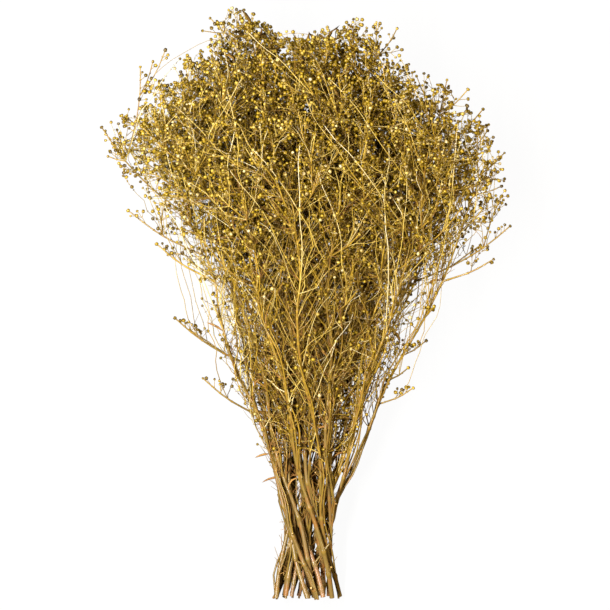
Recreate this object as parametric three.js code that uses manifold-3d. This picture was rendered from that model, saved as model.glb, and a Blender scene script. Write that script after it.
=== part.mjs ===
// A bunch of dried gypsophila that lies on its side: cut stems crossed in a loose spiral, with no tie.
// Each stem is one grown piece: a main axis, its branches, and the round seed heads at their ends.
// Millimetres. +Z is up, and the stems run from their cut ends at -Y to the crown at +Y.
import * as THREE from "three";
import { mergeVertices } from "three/addons/utils/BufferGeometryUtils.js";
import Module from "manifold-3d";

const wasm = await Module();
wasm.setup();

// The bunch as a whole.
const STEM_COUNT = 22;
const CUT_Y = -299;
const SEED = 11;
// Its outline from above: y, left x and right x, from the cut ends over the waist to the crown's top.
const OUTLINE = [
  [-299, -43, 39],
  [-215, -29, 29],
  [-150, -46, 47],
  [-110, -62, 62],
  [-50, -86, 92],
  [15, -106, 132],
  [75, -144, 176],
  [115, -166, 202],
  [150, -192, 204],
  [180, -198, 184],
  [205, -172, 168],
  [230, -152, 124],
  [255, -116, 96],
  [280, -92, 78],
];
const DEPTH_SHARE = 0.56; // its height above the surface, as a share of its width
const AXIS_Z_AT_CUT = 15;
const AXIS_RISE = 0.193; // it lies on its cut ends and on the underside of its crown

// The main axes.
const AXIS_STEP = 25; // between two joints
const FAN_Y = 0; // the axes run straight up to here, and follow the crown's outline above
const CROWN_SHARE = 0.86; // above that the outermost axis falls back to this share of the outline
const CROWN_BEND = 100; // over this height
const SPIRAL_TURN = 2.05; // turn of the bunch between the cut ends and the fan, in radians
const TWIST_SPREAD = 0.7; // an axis turns this much more or less than that
const TURN_SPREAD = 0.4; // and stands this far from its even place in the ring
const TIP_Y = [175, 85]; // end of an inner and of an outer axis
const TIP_Y_SPREAD = 60;
const WANDER = 3.5; // how far an axis strays from its straight line
const WANDER_RATE = [0.9, 0.8]; // radians of its sway for each joint, sideways and up
const AXIS_RADIUS = [2.95, 0.75]; // at the cut end and at the tip
const AXIS_RADIUS_SPREAD = 1;
const AXIS_SIDES = 5;

// How the axes settle against each other.
const SETTLE_ROUNDS = 110;
const SMOOTHING = 0.35;
const RETURN = 0.03; // how strongly an axis is drawn back to its resting line
const LAST_ROUNDS = 40; // these only push crossing axes apart
const AXIS_GAP = 0.34;
const NEAR = 24; // axes further apart than this can't touch within a step
const PULL = 0.01; // how strongly they are drawn together round the waist
const PULL_Y = [-250, -180];
const SINK = 0.8; // how far the surface flattens the underside of an axis that lies on it
const HEAD_SINK = 0.6; // and of a seed head
const RESTING_Z = 15; // sprays that end below this height lie on the surface

// The branches and their seed heads.
const SPRAY_COUNT = 280;
const CROWN_Y = [-115, 280];
const CROWN_PLACES = 2400; // places in the crown that sprays can end at
const FULL_Y = 95; // the crown is as full as it gets from here up
const LEAST_SHARE = 0.5; // how much of a gap counts at its lower end
const FIRST_FORK_Y = -140;
const BRANCH_REACH = [16, 230];
const BRANCH_ANGLE = 0.55; // radians between a branch and what it grows from
const ANGLE_SPREAD = 0.45;
const ANGLE_COST = 0.7;
const ORDER_COST = 9; // in mm of wiring, for each forking between a branch and its main axis
const CROWD_COST = 11; // for each branch that a stem already has
const MOST_ORDERS = 3;
const BRANCH_BOW = 0.13; // how far a branch bows outwards, as a share of its length
const BRANCH_STEP = 38;
const BRANCH_RADIUS = [0.55, 0.0065]; // at the tip, and how much thicker for each mm of length
const BRANCH_SIDES = 3;
const HEAD_RADIUS = 2.05; // half of a seed head's width across its corners
const BRANCH_GAP = 0.4;
const SIDESTEPS = [0, 9, -9, 20, -20, 34, -34]; // ways round another stem's branch
const BOW_STEPS = [0, 10, -8];
const PARENTS_TRIED = 6;
const NUDGES = 3; // a lone spray with no way to its place tries this many others
const NUDGE = 7; // up to this far away
const CELL = 24; // of the grid that finds neighbours
// Sprays that stand out of the crown by themselves, and the tufts on its top.
const LONE_SPRAYS = [
  [-205, 180, 122], [-199, 152, 104], [-179, 97, 84], [-150, 63, 92],
  [-132, -12, 74], [-117, -24, 58], [-104, -73, 66],
  [108, -83, 62], [103, -62, 84], [121, -35, 70], [129, 0, 96],
  [189, 48, 92], [205, 81, 112], [176, 62, 70],
  [-74, 300, 120], [-96, 291, 108], [-53, 293, 134], [-103, 278, 128],
  [71, 286, 122], [91, 279, 138], [81, 264, 104],
  [142, 228, 112], [162, 218, 130], [178, 199, 104],
  [-167, 241, 118], [-155, 247, 104], [-142, 257, 134],
];

const CROWN_BOX = [-205, 205, 0, 225]; // the space in which sprays end: x and z
const GOLDEN_TURN = Math.PI * (3 - Math.sqrt(5));
const EVEN_SPACING = 1.2207440846057596; // the root of x^4 = x + 1 spreads points evenly in space

function seeded(seed) {
  let state = seed;
  return () => {
    state = (state * 16807) % 2147483647;
    return state / 2147483647;
  };
}

const random = seeded(SEED);
const mix = (from, to, share) => from + (to - from) * share;

// ---------- The bunch's outline ----------

function outlineAt(y) {
  let i = 0;
  while (i < OUTLINE.length - 2 && OUTLINE[i + 1][0] < y) i++;
  const [y0, left0, right0] = OUTLINE[i];
  const [y1, left1, right1] = OUTLINE[i + 1];
  const share = Math.min(1, Math.max(0, (y - y0) / (y1 - y0)));
  const left = mix(left0, left1, share);
  const right = mix(right0, right1, share);
  return { middle: (left + right) / 2, half: (right - left) / 2 };
}

const axisZ = (y) => AXIS_Z_AT_CUT + AXIS_RISE * (y - CUT_Y);

// The point at height y whose place in the bunch's cross-section is (u, v) in a unit disc.
function placeInBunch(u, v, y) {
  const { middle, half } = outlineAt(y);
  return new THREE.Vector3(middle + u * half, y, axisZ(y) + v * half * DEPTH_SHARE);
}

// ---------- Main axes ----------

function restingAxis(index) {
  const out = Math.sqrt((index + 1) / STEM_COUNT);
  const turn = index * GOLDEN_TURN + (random() - 0.5) * TURN_SPREAD;
  const twist = turn - SPIRAL_TURN + (random() - 0.5) * TWIST_SPREAD;
  const foot = placeInBunch(out * Math.cos(twist), out * Math.sin(twist), CUT_Y);
  const fanU = out * Math.cos(turn);
  const fanV = out * Math.sin(turn);
  const fan = placeInBunch(fanU, fanV, FAN_Y);
  const tipY = mix(TIP_Y[0], TIP_Y[1], out) + (random() - 0.5) * TIP_Y_SPREAD;
  const steps = Math.round((tipY - CUT_Y) / AXIS_STEP);
  const phase = [random() * 2 * Math.PI, random() * 2 * Math.PI];
  const points = [];
  for (let i = 0; i <= steps; i++) {
    const y = CUT_Y + i * AXIS_STEP;
    const share = (y - CUT_Y) / (FAN_Y - CUT_Y);
    const inwards = mix(1, CROWN_SHARE, Math.min(1, Math.max(0, (y - FAN_Y) / CROWN_BEND)));
    const inCrown = placeInBunch(fanU * inwards, fanV * inwards, y);
    const point = y < FAN_Y ? foot.clone().lerp(fan, share) : inCrown;
    point.y = y;
    point.x += WANDER * Math.sin(i * WANDER_RATE[0] + phase[0]);
    point.z += WANDER * Math.sin(i * WANDER_RATE[1] + phase[1]);
    points.push(point);
  }
  const root = AXIS_RADIUS[0] + (random() - 0.5) * AXIS_RADIUS_SPREAD;
  const radii = points.map((_, i) => mix(root, AXIS_RADIUS[1], i / steps));
  return { points, radii };
}

// The nearest points of two straight pieces: their shares s and t along them, and the distance.
function nearest(a, b, c, d) {
  const ux = b.x - a.x, uy = b.y - a.y, uz = b.z - a.z;
  const vx = d.x - c.x, vy = d.y - c.y, vz = d.z - c.z;
  const wx = a.x - c.x, wy = a.y - c.y, wz = a.z - c.z;
  const uu = ux * ux + uy * uy + uz * uz;
  const vv = vx * vx + vy * vy + vz * vz;
  const uv = ux * vx + uy * vy + uz * vz;
  const uw = ux * wx + uy * wy + uz * wz;
  const vw = vx * wx + vy * wy + vz * wz;
  const flat = uu * vv - uv * uv;
  let s = flat > 1e-9 ? (uv * vw - vv * uw) / flat : 0;
  s = Math.min(1, Math.max(0, s));
  let t = (uv * s + vw) / vv;
  if (t < 0 || t > 1) {
    t = Math.min(1, Math.max(0, t));
    s = Math.min(1, Math.max(0, (uv * t - uw) / uu));
  }
  const dx = wx + ux * s - vx * t;
  const dy = wy + uy * s - vy * t;
  const dz = wz + uz * s - vz * t;
  return { s, t, dx, dz, distance: Math.sqrt(dx * dx + dy * dy + dz * dz) };
}

function pushApart(first, i, second, j) {
  const a = first.points[i], b = first.points[i + 1];
  const c = second.points[j], d = second.points[j + 1];
  if (Math.abs(a.x - c.x) > NEAR * 2 || Math.abs(a.z - c.z) > NEAR) return;
  const { s, t, dx, dz, distance } = nearest(a, b, c, d);
  const wanted =
    mix(first.radii[i], first.radii[i + 1], s) + mix(second.radii[j], second.radii[j + 1], t) + AXIS_GAP;
  if (distance >= wanted) return;
  const flat = Math.max(Math.sqrt(dx * dx + dz * dz), 1e-6);
  const push = (wanted - distance) * 0.5;
  const pushX = (dx / flat) * push;
  const pushZ = (dz / flat) * push;
  for (const [point, weight] of [[a, 1 - s], [b, s], [c, -(1 - t)], [d, -t]]) {
    point.x += pushX * weight;
    point.z += pushZ * weight;
  }
}

// Draws an axis back towards its resting line, evens out its bends and gathers it at the waist.
function relax(axis, rest) {
  const strayed = axis.points.map((point, i) => [point.x - rest[i].x, point.z - rest[i].z]);
  axis.points.forEach((point, i) => {
    const before = strayed[Math.max(i - 1, 0)];
    const after = strayed[Math.min(i + 1, strayed.length - 1)];
    point.x += SMOOTHING * ((before[0] + after[0]) / 2 - strayed[i][0]) - RETURN * strayed[i][0];
    point.z += SMOOTHING * ((before[1] + after[1]) / 2 - strayed[i][1]) - RETURN * strayed[i][1];
    if (point.y > PULL_Y[0] && point.y < PULL_Y[1]) {
      point.x += PULL * (outlineAt(point.y).middle - point.x);
      point.z += PULL * (axisZ(point.y) - point.z);
    }
  });
}

function settle(axes) {
  const rest = axes.map((axis) => axis.points.map((point) => point.clone()));
  for (let round = 0; round < SETTLE_ROUNDS; round++) {
    if (round < SETTLE_ROUNDS - LAST_ROUNDS) axes.forEach((axis, k) => relax(axis, rest[k]));
    for (let k = 0; k < axes.length; k++)
      for (let m = k + 1; m < axes.length; m++)
        for (let i = 0; i < axes[k].points.length - 1; i++)
          for (let j = Math.max(i - 1, 0); j <= i + 1 && j < axes[m].points.length - 1; j++)
            pushApart(axes[k], i, axes[m], j);
    for (const axis of axes)
      axis.points.forEach((point, i) => {
        point.z = Math.max(point.z, axis.radii[i] - SINK);
      });
  }
}

// ---------- Neighbours ----------

const grid = new Map();

function cellsRound(a, b, reach, visit) {
  const low = (p, q) => Math.floor((Math.min(p, q) - reach) / CELL);
  const high = (p, q) => Math.floor((Math.max(p, q) + reach) / CELL);
  for (let x = low(a.x, b.x); x <= high(a.x, b.x); x++)
    for (let y = low(a.y, b.y); y <= high(a.y, b.y); y++)
      for (let z = low(a.z, b.z); z <= high(a.z, b.z); z++) visit(`${x},${y},${z}`);
}

// Files each straight piece of a branch, or of a main axis, under the cells that it passes.
function claim(branch, stem) {
  for (let i = 0; i < branch.points.length - 1; i++) {
    const piece = { a: branch.points[i], b: branch.points[i + 1], stem };
    piece.radius = Math.max(branch.radii[i], branch.radii[i + 1]);
    cellsRound(piece.a, piece.b, piece.radius, (cell) => {
      if (!grid.has(cell)) grid.set(cell, []);
      grid.get(cell).push(piece);
    });
  }
}

function isClear(a, b, radius, stem) {
  let clear = true;
  cellsRound(a, b, radius + BRANCH_GAP, (cell) => {
    if (!clear) return;
    for (const piece of grid.get(cell) ?? []) {
      if (piece.stem === stem) continue;
      const wanted = radius + piece.radius + BRANCH_GAP;
      if (nearest(a, b, piece.a, piece.b).distance < wanted) {
        clear = false;
        return;
      }
    }
  });
  return clear;
}

// ---------- Branches ----------

// Places spread evenly through the crown, with how wide the gap round each is and how much that counts.
function placesInCrown() {
  const places = [];
  const [left, right, lowest, highest] = CROWN_BOX;
  for (let n = 1; places.length < CROWN_PLACES; n++) {
    const y = mix(CROWN_Y[0], CROWN_Y[1], (0.5 + n / EVEN_SPACING) % 1);
    const x = mix(left, right, (0.5 + n / EVEN_SPACING ** 2) % 1);
    const z = mix(lowest, highest, (0.5 + n / EVEN_SPACING ** 3) % 1);
    const { middle, half } = outlineAt(y);
    const u = (x - middle) / half;
    const v = (z - axisZ(y)) / (half * DEPTH_SHARE);
    if (u * u + v * v > 1) continue;
    const end = new THREE.Vector3(x, y, z < RESTING_Z ? HEAD_RADIUS - HEAD_SINK : z);
    const fullness = Math.min(1, mix(LEAST_SHARE, 1, (y - CROWN_Y[0]) / (FULL_Y - CROWN_Y[0])));
    places.push({ end, fullness, gap: Infinity });
  }
  return places;
}

// How far a place is from the nearest part of a branch.
function distanceTo(branch, place) {
  let least = Infinity;
  for (let i = 0; i < branch.points.length - 1; i++) {
    const a = branch.points[i], b = branch.points[i + 1];
    const ux = b.x - a.x, uy = b.y - a.y, uz = b.z - a.z;
    const wx = place.x - a.x, wy = place.y - a.y, wz = place.z - a.z;
    const along = (wx * ux + wy * uy + wz * uz) / (ux * ux + uy * uy + uz * uz);
    const s = Math.min(1, Math.max(0, along));
    const dx = wx - ux * s, dy = wy - uy * s, dz = wz - uz * s;
    least = Math.min(least, Math.sqrt(dx * dx + dy * dy + dz * dz));
  }
  return least;
}

// The joints from which a stem can branch, with the direction of growth there.
function addJoints(stem, branch, order, from) {
  const { points, radii } = branch;
  for (let i = from; i < points.length - 1; i++) {
    const along = points[i + 1].clone().sub(points[i]);
    const direction = along.clone().normalize();
    stem.joints.push({ at: points[i], direction, radius: radii[i], order });
    if (order === 0) {
      const halfway = points[i].clone().addScaledVector(along, 0.5);
      stem.joints.push({ at: halfway, direction, radius: (radii[i] + radii[i + 1]) / 2, order });
    }
  }
}

function wiringCost(joint, end, stem) {
  const way = end.clone().sub(joint.at);
  const length = way.length();
  if (length < BRANCH_REACH[0] || length > BRANCH_REACH[1] || joint.order >= MOST_ORDERS) return Infinity;
  const angle = Math.acos(Math.min(1, Math.max(-1, way.dot(joint.direction) / length)));
  const bend = (angle - BRANCH_ANGLE) / ANGLE_SPREAD;
  return (
    length * (1 + ANGLE_COST * bend * bend) + ORDER_COST * joint.order + CROWD_COST * stem.branches.length
  );
}

// A branch from a joint to its end that leaves wide and then straightens, bent aside by a sidestep.
function branchPath(joint, end, aside, across) {
  const way = end.clone().sub(joint.at);
  const length = way.length();
  const outward = way.clone().addScaledVector(joint.direction, -way.dot(joint.direction));
  outward.normalize();
  const sideways = outward.clone().cross(joint.direction);
  const bow = joint.at.clone().addScaledVector(way, 0.5);
  bow.addScaledVector(outward, BRANCH_BOW * length + across).addScaledVector(sideways, aside);
  const count = Math.min(6, Math.max(2, Math.round(length / BRANCH_STEP)));
  const points = new THREE.QuadraticBezierCurve3(joint.at, bow, end).getPoints(count);
  const root = Math.min(BRANCH_RADIUS[0] + BRANCH_RADIUS[1] * length, 0.85 * joint.radius);
  const radii = points.map((_, i) => mix(root, Math.min(root, BRANCH_RADIUS[0]), i / count));
  return { points, radii };
}

function fits(branch, stem) {
  const { points, radii } = branch;
  const end = points[points.length - 1];
  for (let i = 0; i < points.length - 1; i++) {
    if (points[i + 1].z < radii[i + 1]) return false;
    if (!isClear(points[i], points[i + 1], radii[i], stem)) return false;
  }
  return isClear(end, end.clone().setZ(end.z + 0.01), HEAD_RADIUS, stem);
}

// Grows one branch to an end from the best joint of any stem, or none where nothing fits.
function growBranch(stems, end) {
  const choices = [];
  stems.forEach((stem) => {
    for (const joint of stem.joints) choices.push({ stem, joint, cost: wiringCost(joint, end, stem) });
  });
  choices.sort((a, b) => a.cost - b.cost);
  for (const { stem, joint, cost } of choices.slice(0, PARENTS_TRIED)) {
    if (cost === Infinity) break;
    for (const aside of SIDESTEPS)
      for (const across of BOW_STEPS) {
        const branch = branchPath(joint, end, aside, across);
        if (!fits(branch, stem)) continue;
        branch.order = joint.order + 1;
        stem.branches.push(branch);
        claim(branch, stem);
        claim({ points: [end, end.clone().setZ(end.z + 0.01)], radii: [HEAD_RADIUS, HEAD_RADIUS] }, stem);
        addJoints(stem, branch, branch.order, 1);
        return branch;
      }
  }
  return null;
}

// Grows the lone sprays, then one after another a spray into the widest gap that the crown still has.
function growBranches(stems) {
  for (const place of LONE_SPRAYS) {
    const end = new THREE.Vector3(...place);
    let grown = growBranch(stems, end);
    for (let n = 0; n < NUDGES && !grown; n++) {
      const nudged = end.clone();
      nudged.x += (random() - 0.5) * 2 * NUDGE;
      nudged.y += (random() - 0.5) * 2 * NUDGE;
      nudged.z += random() * NUDGE;
      grown = growBranch(stems, nudged);
    }
  }
  const places = placesInCrown();
  const note = (branch) => {
    for (const place of places)
      place.gap = Math.min(place.gap, place.fullness * distanceTo(branch, place.end));
  };
  for (const { axis, branches } of stems) [axis, ...branches].forEach(note);
  for (let count = LONE_SPRAYS.length; count < SPRAY_COUNT; ) {
    const widest = places.reduce((best, place) => (place.gap > best.gap ? place : best));
    widest.gap = 0;
    const branch = growBranch(stems, widest.end);
    if (!branch) continue;
    note(branch);
    count++;
  }
}

function growBunch() {
  const axes = Array.from({ length: STEM_COUNT }, (_, index) => restingAxis(index));
  settle(axes);
  const stems = axes.map((axis) => ({ axis, joints: [], branches: [] }));
  for (const stem of stems) {
    claim(stem.axis, stem);
    addJoints(stem, stem.axis, 0, Math.ceil((FIRST_FORK_Y - CUT_Y) / AXIS_STEP));
  }
  growBranches(stems);
  return stems;
}

// ---------- Solids ----------

function solidFrom(geometry) {
  const bare = geometry.clone();
  bare.deleteAttribute("normal");
  bare.deleteAttribute("uv");
  const merged = mergeVertices(bare, 1e-4);
  const mesh = new wasm.Mesh({
    numProp: 3,
    vertProperties: merged.attributes.position.array,
    triVerts: new Uint32Array(merged.index.array),
  });
  return new wasm.Manifold(mesh);
}

// The line of a limb with the three rings of its seed head added: neck, widest ring and crown point.
function withSeedHead({ points, radii }) {
  const last = points.length - 1;
  const tip = points[last];
  const along = tip.clone().sub(points[last - 1]).normalize();
  const at = (distance) => tip.clone().addScaledVector(along, distance);
  return {
    points: [...points.slice(0, last), at(-HEAD_RADIUS), tip, at(HEAD_RADIUS)],
    radii: [...radii.slice(0, last), radii[last], HEAD_RADIUS, 0],
  };
}

// A tapering limb that ends in its seed head: a cone whose rings are laid square across its line.
function limb(branch, sides) {
  const { points, radii } = withSeedHead(branch);
  const last = points.length - 1;
  const geometry = new THREE.CylinderGeometry(0, 1, 1, sides, last);
  const frames = [];
  let across = new THREE.Vector3(0, 0, 1);
  points.forEach((point, i) => {
    const along = points[Math.min(i + 1, last)].clone().sub(points[Math.max(i - 1, 0)]).normalize();
    across = across.clone().addScaledVector(along, -across.dot(along)).normalize();
    frames.push({ across, aside: across.clone().cross(along) });
  });
  const place = geometry.attributes.position;
  for (let i = 0; i < place.count; i++) {
    const ring = Math.round((place.getY(i) + 0.5) * last);
    const spread = radii[ring] / Math.max(Math.hypot(place.getX(i), place.getZ(i)), 1e-6);
    const point = points[ring]
      .clone()
      .addScaledVector(frames[ring].across, place.getX(i) * spread)
      .addScaledVector(frames[ring].aside, place.getZ(i) * spread);
    place.setXYZ(i, point.x, point.y, point.z);
  }
  return solidFrom(geometry);
}

// What the surface flattens: everything below it.
function belowSurface() {
  const geometry = new THREE.BoxGeometry(1000, 1000, 50);
  geometry.translate(0, 0, -25);
  return solidFrom(geometry);
}

const ground = belowSurface();

// Branches that cross can seal a hollow between them: keeping only the outer skin fills it.
function outerSkin(solid) {
  const skins = solidFrom(meshOf(solid)).decompose();
  return skins.reduce((most, skin) => (skin.volume() > most.volume() ? skin : most));
}

function stemSolid(stem) {
  const pieces = stem.branches.map((branch) => limb(branch, BRANCH_SIDES));
  pieces.push(limb(stem.axis, AXIS_SIDES));
  return outerSkin(wasm.Manifold.union(pieces).subtract(ground));
}

function meshOf(solid) {
  const { vertProperties, triVerts, numProp } = solid.getMesh();
  const geometry = new THREE.BufferGeometry();
  const buffer = new THREE.InterleavedBuffer(vertProperties, numProp);
  geometry.setAttribute("position", new THREE.InterleavedBufferAttribute(buffer, 3, 0));
  geometry.setIndex(new THREE.BufferAttribute(triVerts, 1));
  return geometry.toNonIndexed();
}

function driedStraw() {
  const material = new THREE.MeshStandardMaterial();
  material.color.set("#a98d43");
  material.roughness = 0.75;
  material.metalness = 0;
  return material;
}

const bunch = new THREE.Group();
growBunch().forEach((stem, index) => {
  const mesh = new THREE.Mesh(meshOf(stemSolid(stem)), driedStraw());
  mesh.name = `stem_${String(index + 1).padStart(2, "0")}`;
  bunch.add(mesh);
});

export default bunch;
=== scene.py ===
# %% [markdown]
# # A bunch of dried gypsophila
# Gypsophila, or baby's breath, dries into a cloud of straw. Each stem is a stiff rod with swollen joints.
# From every joint grows an opposite pair of branches, each branch forks in pairs again, and the last
# forks are hairs of about 6 mm with a round seed capsule of about 4 mm on each. A bunch of 22 such stems
# is crossed in a spiral and lies on its side.
# The imported solids hold the main axes, the first branches and a seed head on each. This lesson grows the
# same skeleton from the same rule, and then goes on growing: finer pairs of twigs, hair stalks, more than
# twenty thousand capsules, and dry scales at the forks. The imported model is loaded first, and the boxes
# of its solids are measured, so that the grown skeleton can be held against them.

# %% Start from the imported model
import math
import bpy
import numpy as np
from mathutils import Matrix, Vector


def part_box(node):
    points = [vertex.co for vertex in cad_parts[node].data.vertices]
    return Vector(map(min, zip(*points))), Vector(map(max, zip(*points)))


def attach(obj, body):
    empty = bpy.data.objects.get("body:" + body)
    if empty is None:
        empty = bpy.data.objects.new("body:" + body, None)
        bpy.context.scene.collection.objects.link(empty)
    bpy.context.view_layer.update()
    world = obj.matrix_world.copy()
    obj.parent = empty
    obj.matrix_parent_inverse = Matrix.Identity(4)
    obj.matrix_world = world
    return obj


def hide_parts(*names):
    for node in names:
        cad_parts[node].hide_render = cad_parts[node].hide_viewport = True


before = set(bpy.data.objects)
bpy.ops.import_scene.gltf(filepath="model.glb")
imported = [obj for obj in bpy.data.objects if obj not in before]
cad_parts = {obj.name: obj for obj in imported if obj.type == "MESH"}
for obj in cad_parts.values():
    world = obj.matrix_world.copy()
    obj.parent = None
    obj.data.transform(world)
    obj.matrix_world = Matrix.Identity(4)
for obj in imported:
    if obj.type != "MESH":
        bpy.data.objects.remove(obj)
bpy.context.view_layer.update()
MM = 0.001

# %% [markdown]
# ## Chance that repeats itself
# A plant looks grown because nothing in it is quite regular, but a script has to give the same plant each
# time. A multiplying generator with a fixed seed gives the same draws here as in the part's source. It is
# asked in a fixed order, so every branch lies where its solid lies.

# %% Seeded draws
SEED = 11


def seeded(seed):
    state = seed

    def draw():
        nonlocal state
        state = (state * 16807) % 2147483647
        return state / 2147483647

    return draw


random = seeded(SEED)
print("the first draws are", [round(draw(), 3) for draw in [seeded(SEED)] * 3])

# %% [markdown]
# ## Points and directions
# Blender has vectors of its own, but they round to single precision, and the rule has to reach the very
# numbers of the part's source. So a point is a plain list of three millimetres, and these helpers mix,
# measure and turn such lists.

# %% Small helpers
def mix(start, end, share):
    return start + (end - start) * share


def within(low, value, high):
    return min(high, max(low, value))


def dot(a, b):
    return a[0] * b[0] + a[1] * b[1] + a[2] * b[2]


def cross(a, b):
    return [a[1] * b[2] - a[2] * b[1], a[2] * b[0] - a[0] * b[2], a[0] * b[1] - a[1] * b[0]]


def along_from(a, direction, distance):
    return [a[0] + direction[0] * distance, a[1] + direction[1] * distance, a[2] + direction[2] * distance]


def way(a, b):
    return [b[0] - a[0], b[1] - a[1], b[2] - a[2]]


def size(a):
    return math.sqrt(dot(a, a))


def unit(a):
    length = max(size(a), 1e-12)
    return [a[0] / length, a[1] / length, a[2] / length]


print("a way of 3, 4 and 12 mm is", size(way([0, 0, 0], [3, 4, 12])), "mm long")

# %% [markdown]
# ## The bunch's outline
# From above the bunch is a narrow waist under a broad, lumpy crown. `OUTLINE` tells that in rows: height
# along the bunch, left edge and right edge. Any place in the bunch is then (u, v) in a unit disc plus a
# height y. The depth is a share of the width, because a bunch flattens when it lies down. The middle line
# rises from the cut ends, because the bunch rests on its cut ends and on the underside of its crown.

# %% From a place in the bunch to a point
CUT_Y = -299
OUTLINE = [
    (-299, -43, 39), (-215, -29, 29), (-150, -46, 47), (-110, -62, 62), (-50, -86, 92), (15, -106, 132),
    (75, -144, 176), (115, -166, 202), (150, -192, 204), (180, -198, 184), (205, -172, 168),
    (230, -152, 124), (255, -116, 96), (280, -92, 78),
]
DEPTH_SHARE = 0.56
AXIS_Z_AT_CUT = 15
AXIS_RISE = 0.193  # how much the middle line rises for each millimetre along the bunch


def outline_at(y):
    i = 0
    while i < len(OUTLINE) - 2 and OUTLINE[i + 1][0] < y:
        i += 1
    (y0, left0, right0), (y1, left1, right1) = OUTLINE[i], OUTLINE[i + 1]
    share = within(0, (y - y0) / (y1 - y0), 1)
    left, right = mix(left0, left1, share), mix(right0, right1, share)
    return (left + right) / 2, (right - left) / 2


def axis_z(y):
    return AXIS_Z_AT_CUT + AXIS_RISE * (y - CUT_Y)


def place_in_bunch(u, v, y):
    middle, half = outline_at(y)
    return [middle + u * half, y, axis_z(y) + v * half * DEPTH_SHARE]


print("widest crown in mm:", max(2 * outline_at(y)[1] for y in range(CUT_Y, 280, 5)))

# %% [markdown]
# ## Main axes
# In a hand-tied spiral each stem enters the bunch at the same slant, so the stems form a waist where they
# cross and fan out above and below it. Straight lines from a foot to a fan point a third of a turn
# further round give that waist by themselves. One foot follows the next by the golden turn, which spreads
# them evenly over the disc, as a sunflower does with its seeds. A slow sway keeps the rods from looking
# ruled.

# %% Resting lines of the axes
STEM_COUNT = 22
GOLDEN_TURN = math.pi * (3 - math.sqrt(5))
AXIS_STEP = 25
FAN_Y = 0
CROWN_SHARE = 0.86  # above the fan the axes draw in to this share of their place
CROWN_BEND = 100
SPIRAL_TURN = 2.05
TWIST_SPREAD = 0.7
TURN_SPREAD = 0.4
TIP_Y = (175, 85)  # tips in the middle of the bunch and at its outside
TIP_Y_SPREAD = 60
WANDER = 3.5
WANDER_RATE = (0.9, 0.8)
AXIS_RADIUS = (2.95, 0.75)  # at the cut and at the tip
AXIS_RADIUS_SPREAD = 1


def resting_axis(index):
    out = math.sqrt((index + 1) / STEM_COUNT)
    turn = index * GOLDEN_TURN + (random() - 0.5) * TURN_SPREAD
    twist = turn - SPIRAL_TURN + (random() - 0.5) * TWIST_SPREAD
    foot = place_in_bunch(out * math.cos(twist), out * math.sin(twist), CUT_Y)
    fan_u, fan_v = out * math.cos(turn), out * math.sin(turn)
    fan = place_in_bunch(fan_u, fan_v, FAN_Y)
    tip_y = mix(TIP_Y[0], TIP_Y[1], out) + (random() - 0.5) * TIP_Y_SPREAD
    steps = math.floor((tip_y - CUT_Y) / AXIS_STEP + 0.5)
    phase = [random() * 2 * math.pi, random() * 2 * math.pi]
    points = []
    for i in range(steps + 1):
        y = CUT_Y + i * AXIS_STEP
        share = (y - CUT_Y) / (FAN_Y - CUT_Y)
        inwards = mix(1, CROWN_SHARE, within(0, (y - FAN_Y) / CROWN_BEND, 1))
        if y < FAN_Y:
            point = [mix(foot[0], fan[0], share), y, mix(foot[2], fan[2], share)]
        else:
            point = place_in_bunch(fan_u * inwards, fan_v * inwards, y)
        point[0] += WANDER * math.sin(i * WANDER_RATE[0] + phase[0])
        point[2] += WANDER * math.sin(i * WANDER_RATE[1] + phase[1])
        points.append(point)
    root = AXIS_RADIUS[0] + (random() - 0.5) * AXIS_RADIUS_SPREAD
    radii = [mix(root, AXIS_RADIUS[1], i / steps) for i in range(steps + 1)]
    return {"points": points, "radii": radii}


axes = [resting_axis(index) for index in range(STEM_COUNT)]
print(STEM_COUNT, "axes with", sum(len(axis["points"]) for axis in axes), "points")

# %% [markdown]
# ### Rods that push each other apart
# The resting lines run through each other where they cross. A physics engine could part them, but not in
# the same way in two programs. A few lines of geometry can: find the nearest points of two steps, and
# move both steps aside by half of what is missing between them.

# %% Nearest points of two steps
NEAR = 24  # steps further apart than this are not compared
AXIS_GAP = 0.34


def nearest(a, b, c, d):
    """Shares along ab and cd of their nearest points, the gap's x and z, and the distance."""
    u, v, w = way(a, b), way(c, d), way(c, a)
    uu, vv, uv, uw, vw = dot(u, u), dot(v, v), dot(u, v), dot(u, w), dot(v, w)
    flat = uu * vv - uv * uv
    s = within(0, (uv * vw - vv * uw) / flat, 1) if flat > 1e-9 else 0
    t = (uv * s + vw) / vv
    if t < 0 or t > 1:
        t = within(0, t, 1)
        s = within(0, (uv * t - uw) / uu, 1)
    dx = w[0] + u[0] * s - v[0] * t
    dy = w[1] + u[1] * s - v[1] * t
    dz = w[2] + u[2] * s - v[2] * t
    return s, t, dx, dz, math.sqrt(dx * dx + dy * dy + dz * dz)


def push_apart(first, i, second, j):
    a, b = first["points"][i], first["points"][i + 1]
    c, d = second["points"][j], second["points"][j + 1]
    if abs(a[0] - c[0]) > NEAR * 2 or abs(a[2] - c[2]) > NEAR:
        return
    s, t, dx, dz, distance = nearest(a, b, c, d)
    wanted = mix(first["radii"][i], first["radii"][i + 1], s) + AXIS_GAP
    wanted += mix(second["radii"][j], second["radii"][j + 1], t)
    if distance >= wanted:
        return
    flat = max(math.sqrt(dx * dx + dz * dz), 1e-6)
    push = (wanted - distance) * 0.5
    for point, weight in ((a, 1 - s), (b, s), (c, t - 1), (d, -t)):
        point[0] += (dx / flat) * push * weight
        point[2] += (dz / flat) * push * weight


print("two rods crossed 3 mm apart:", nearest([0, 0, 0], [9, 0, 0], [4, -5, 3], [4, 5, 3])[4], "mm")

# %% [markdown]
# ### Settling
# Between the pushes every axis relaxes: it is smoothed, drawn back a little to its own resting line and,
# near the waist, drawn to the middle, as a hand would hold it. The last rounds push and do nothing else,
# so that no overlap is left.

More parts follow.
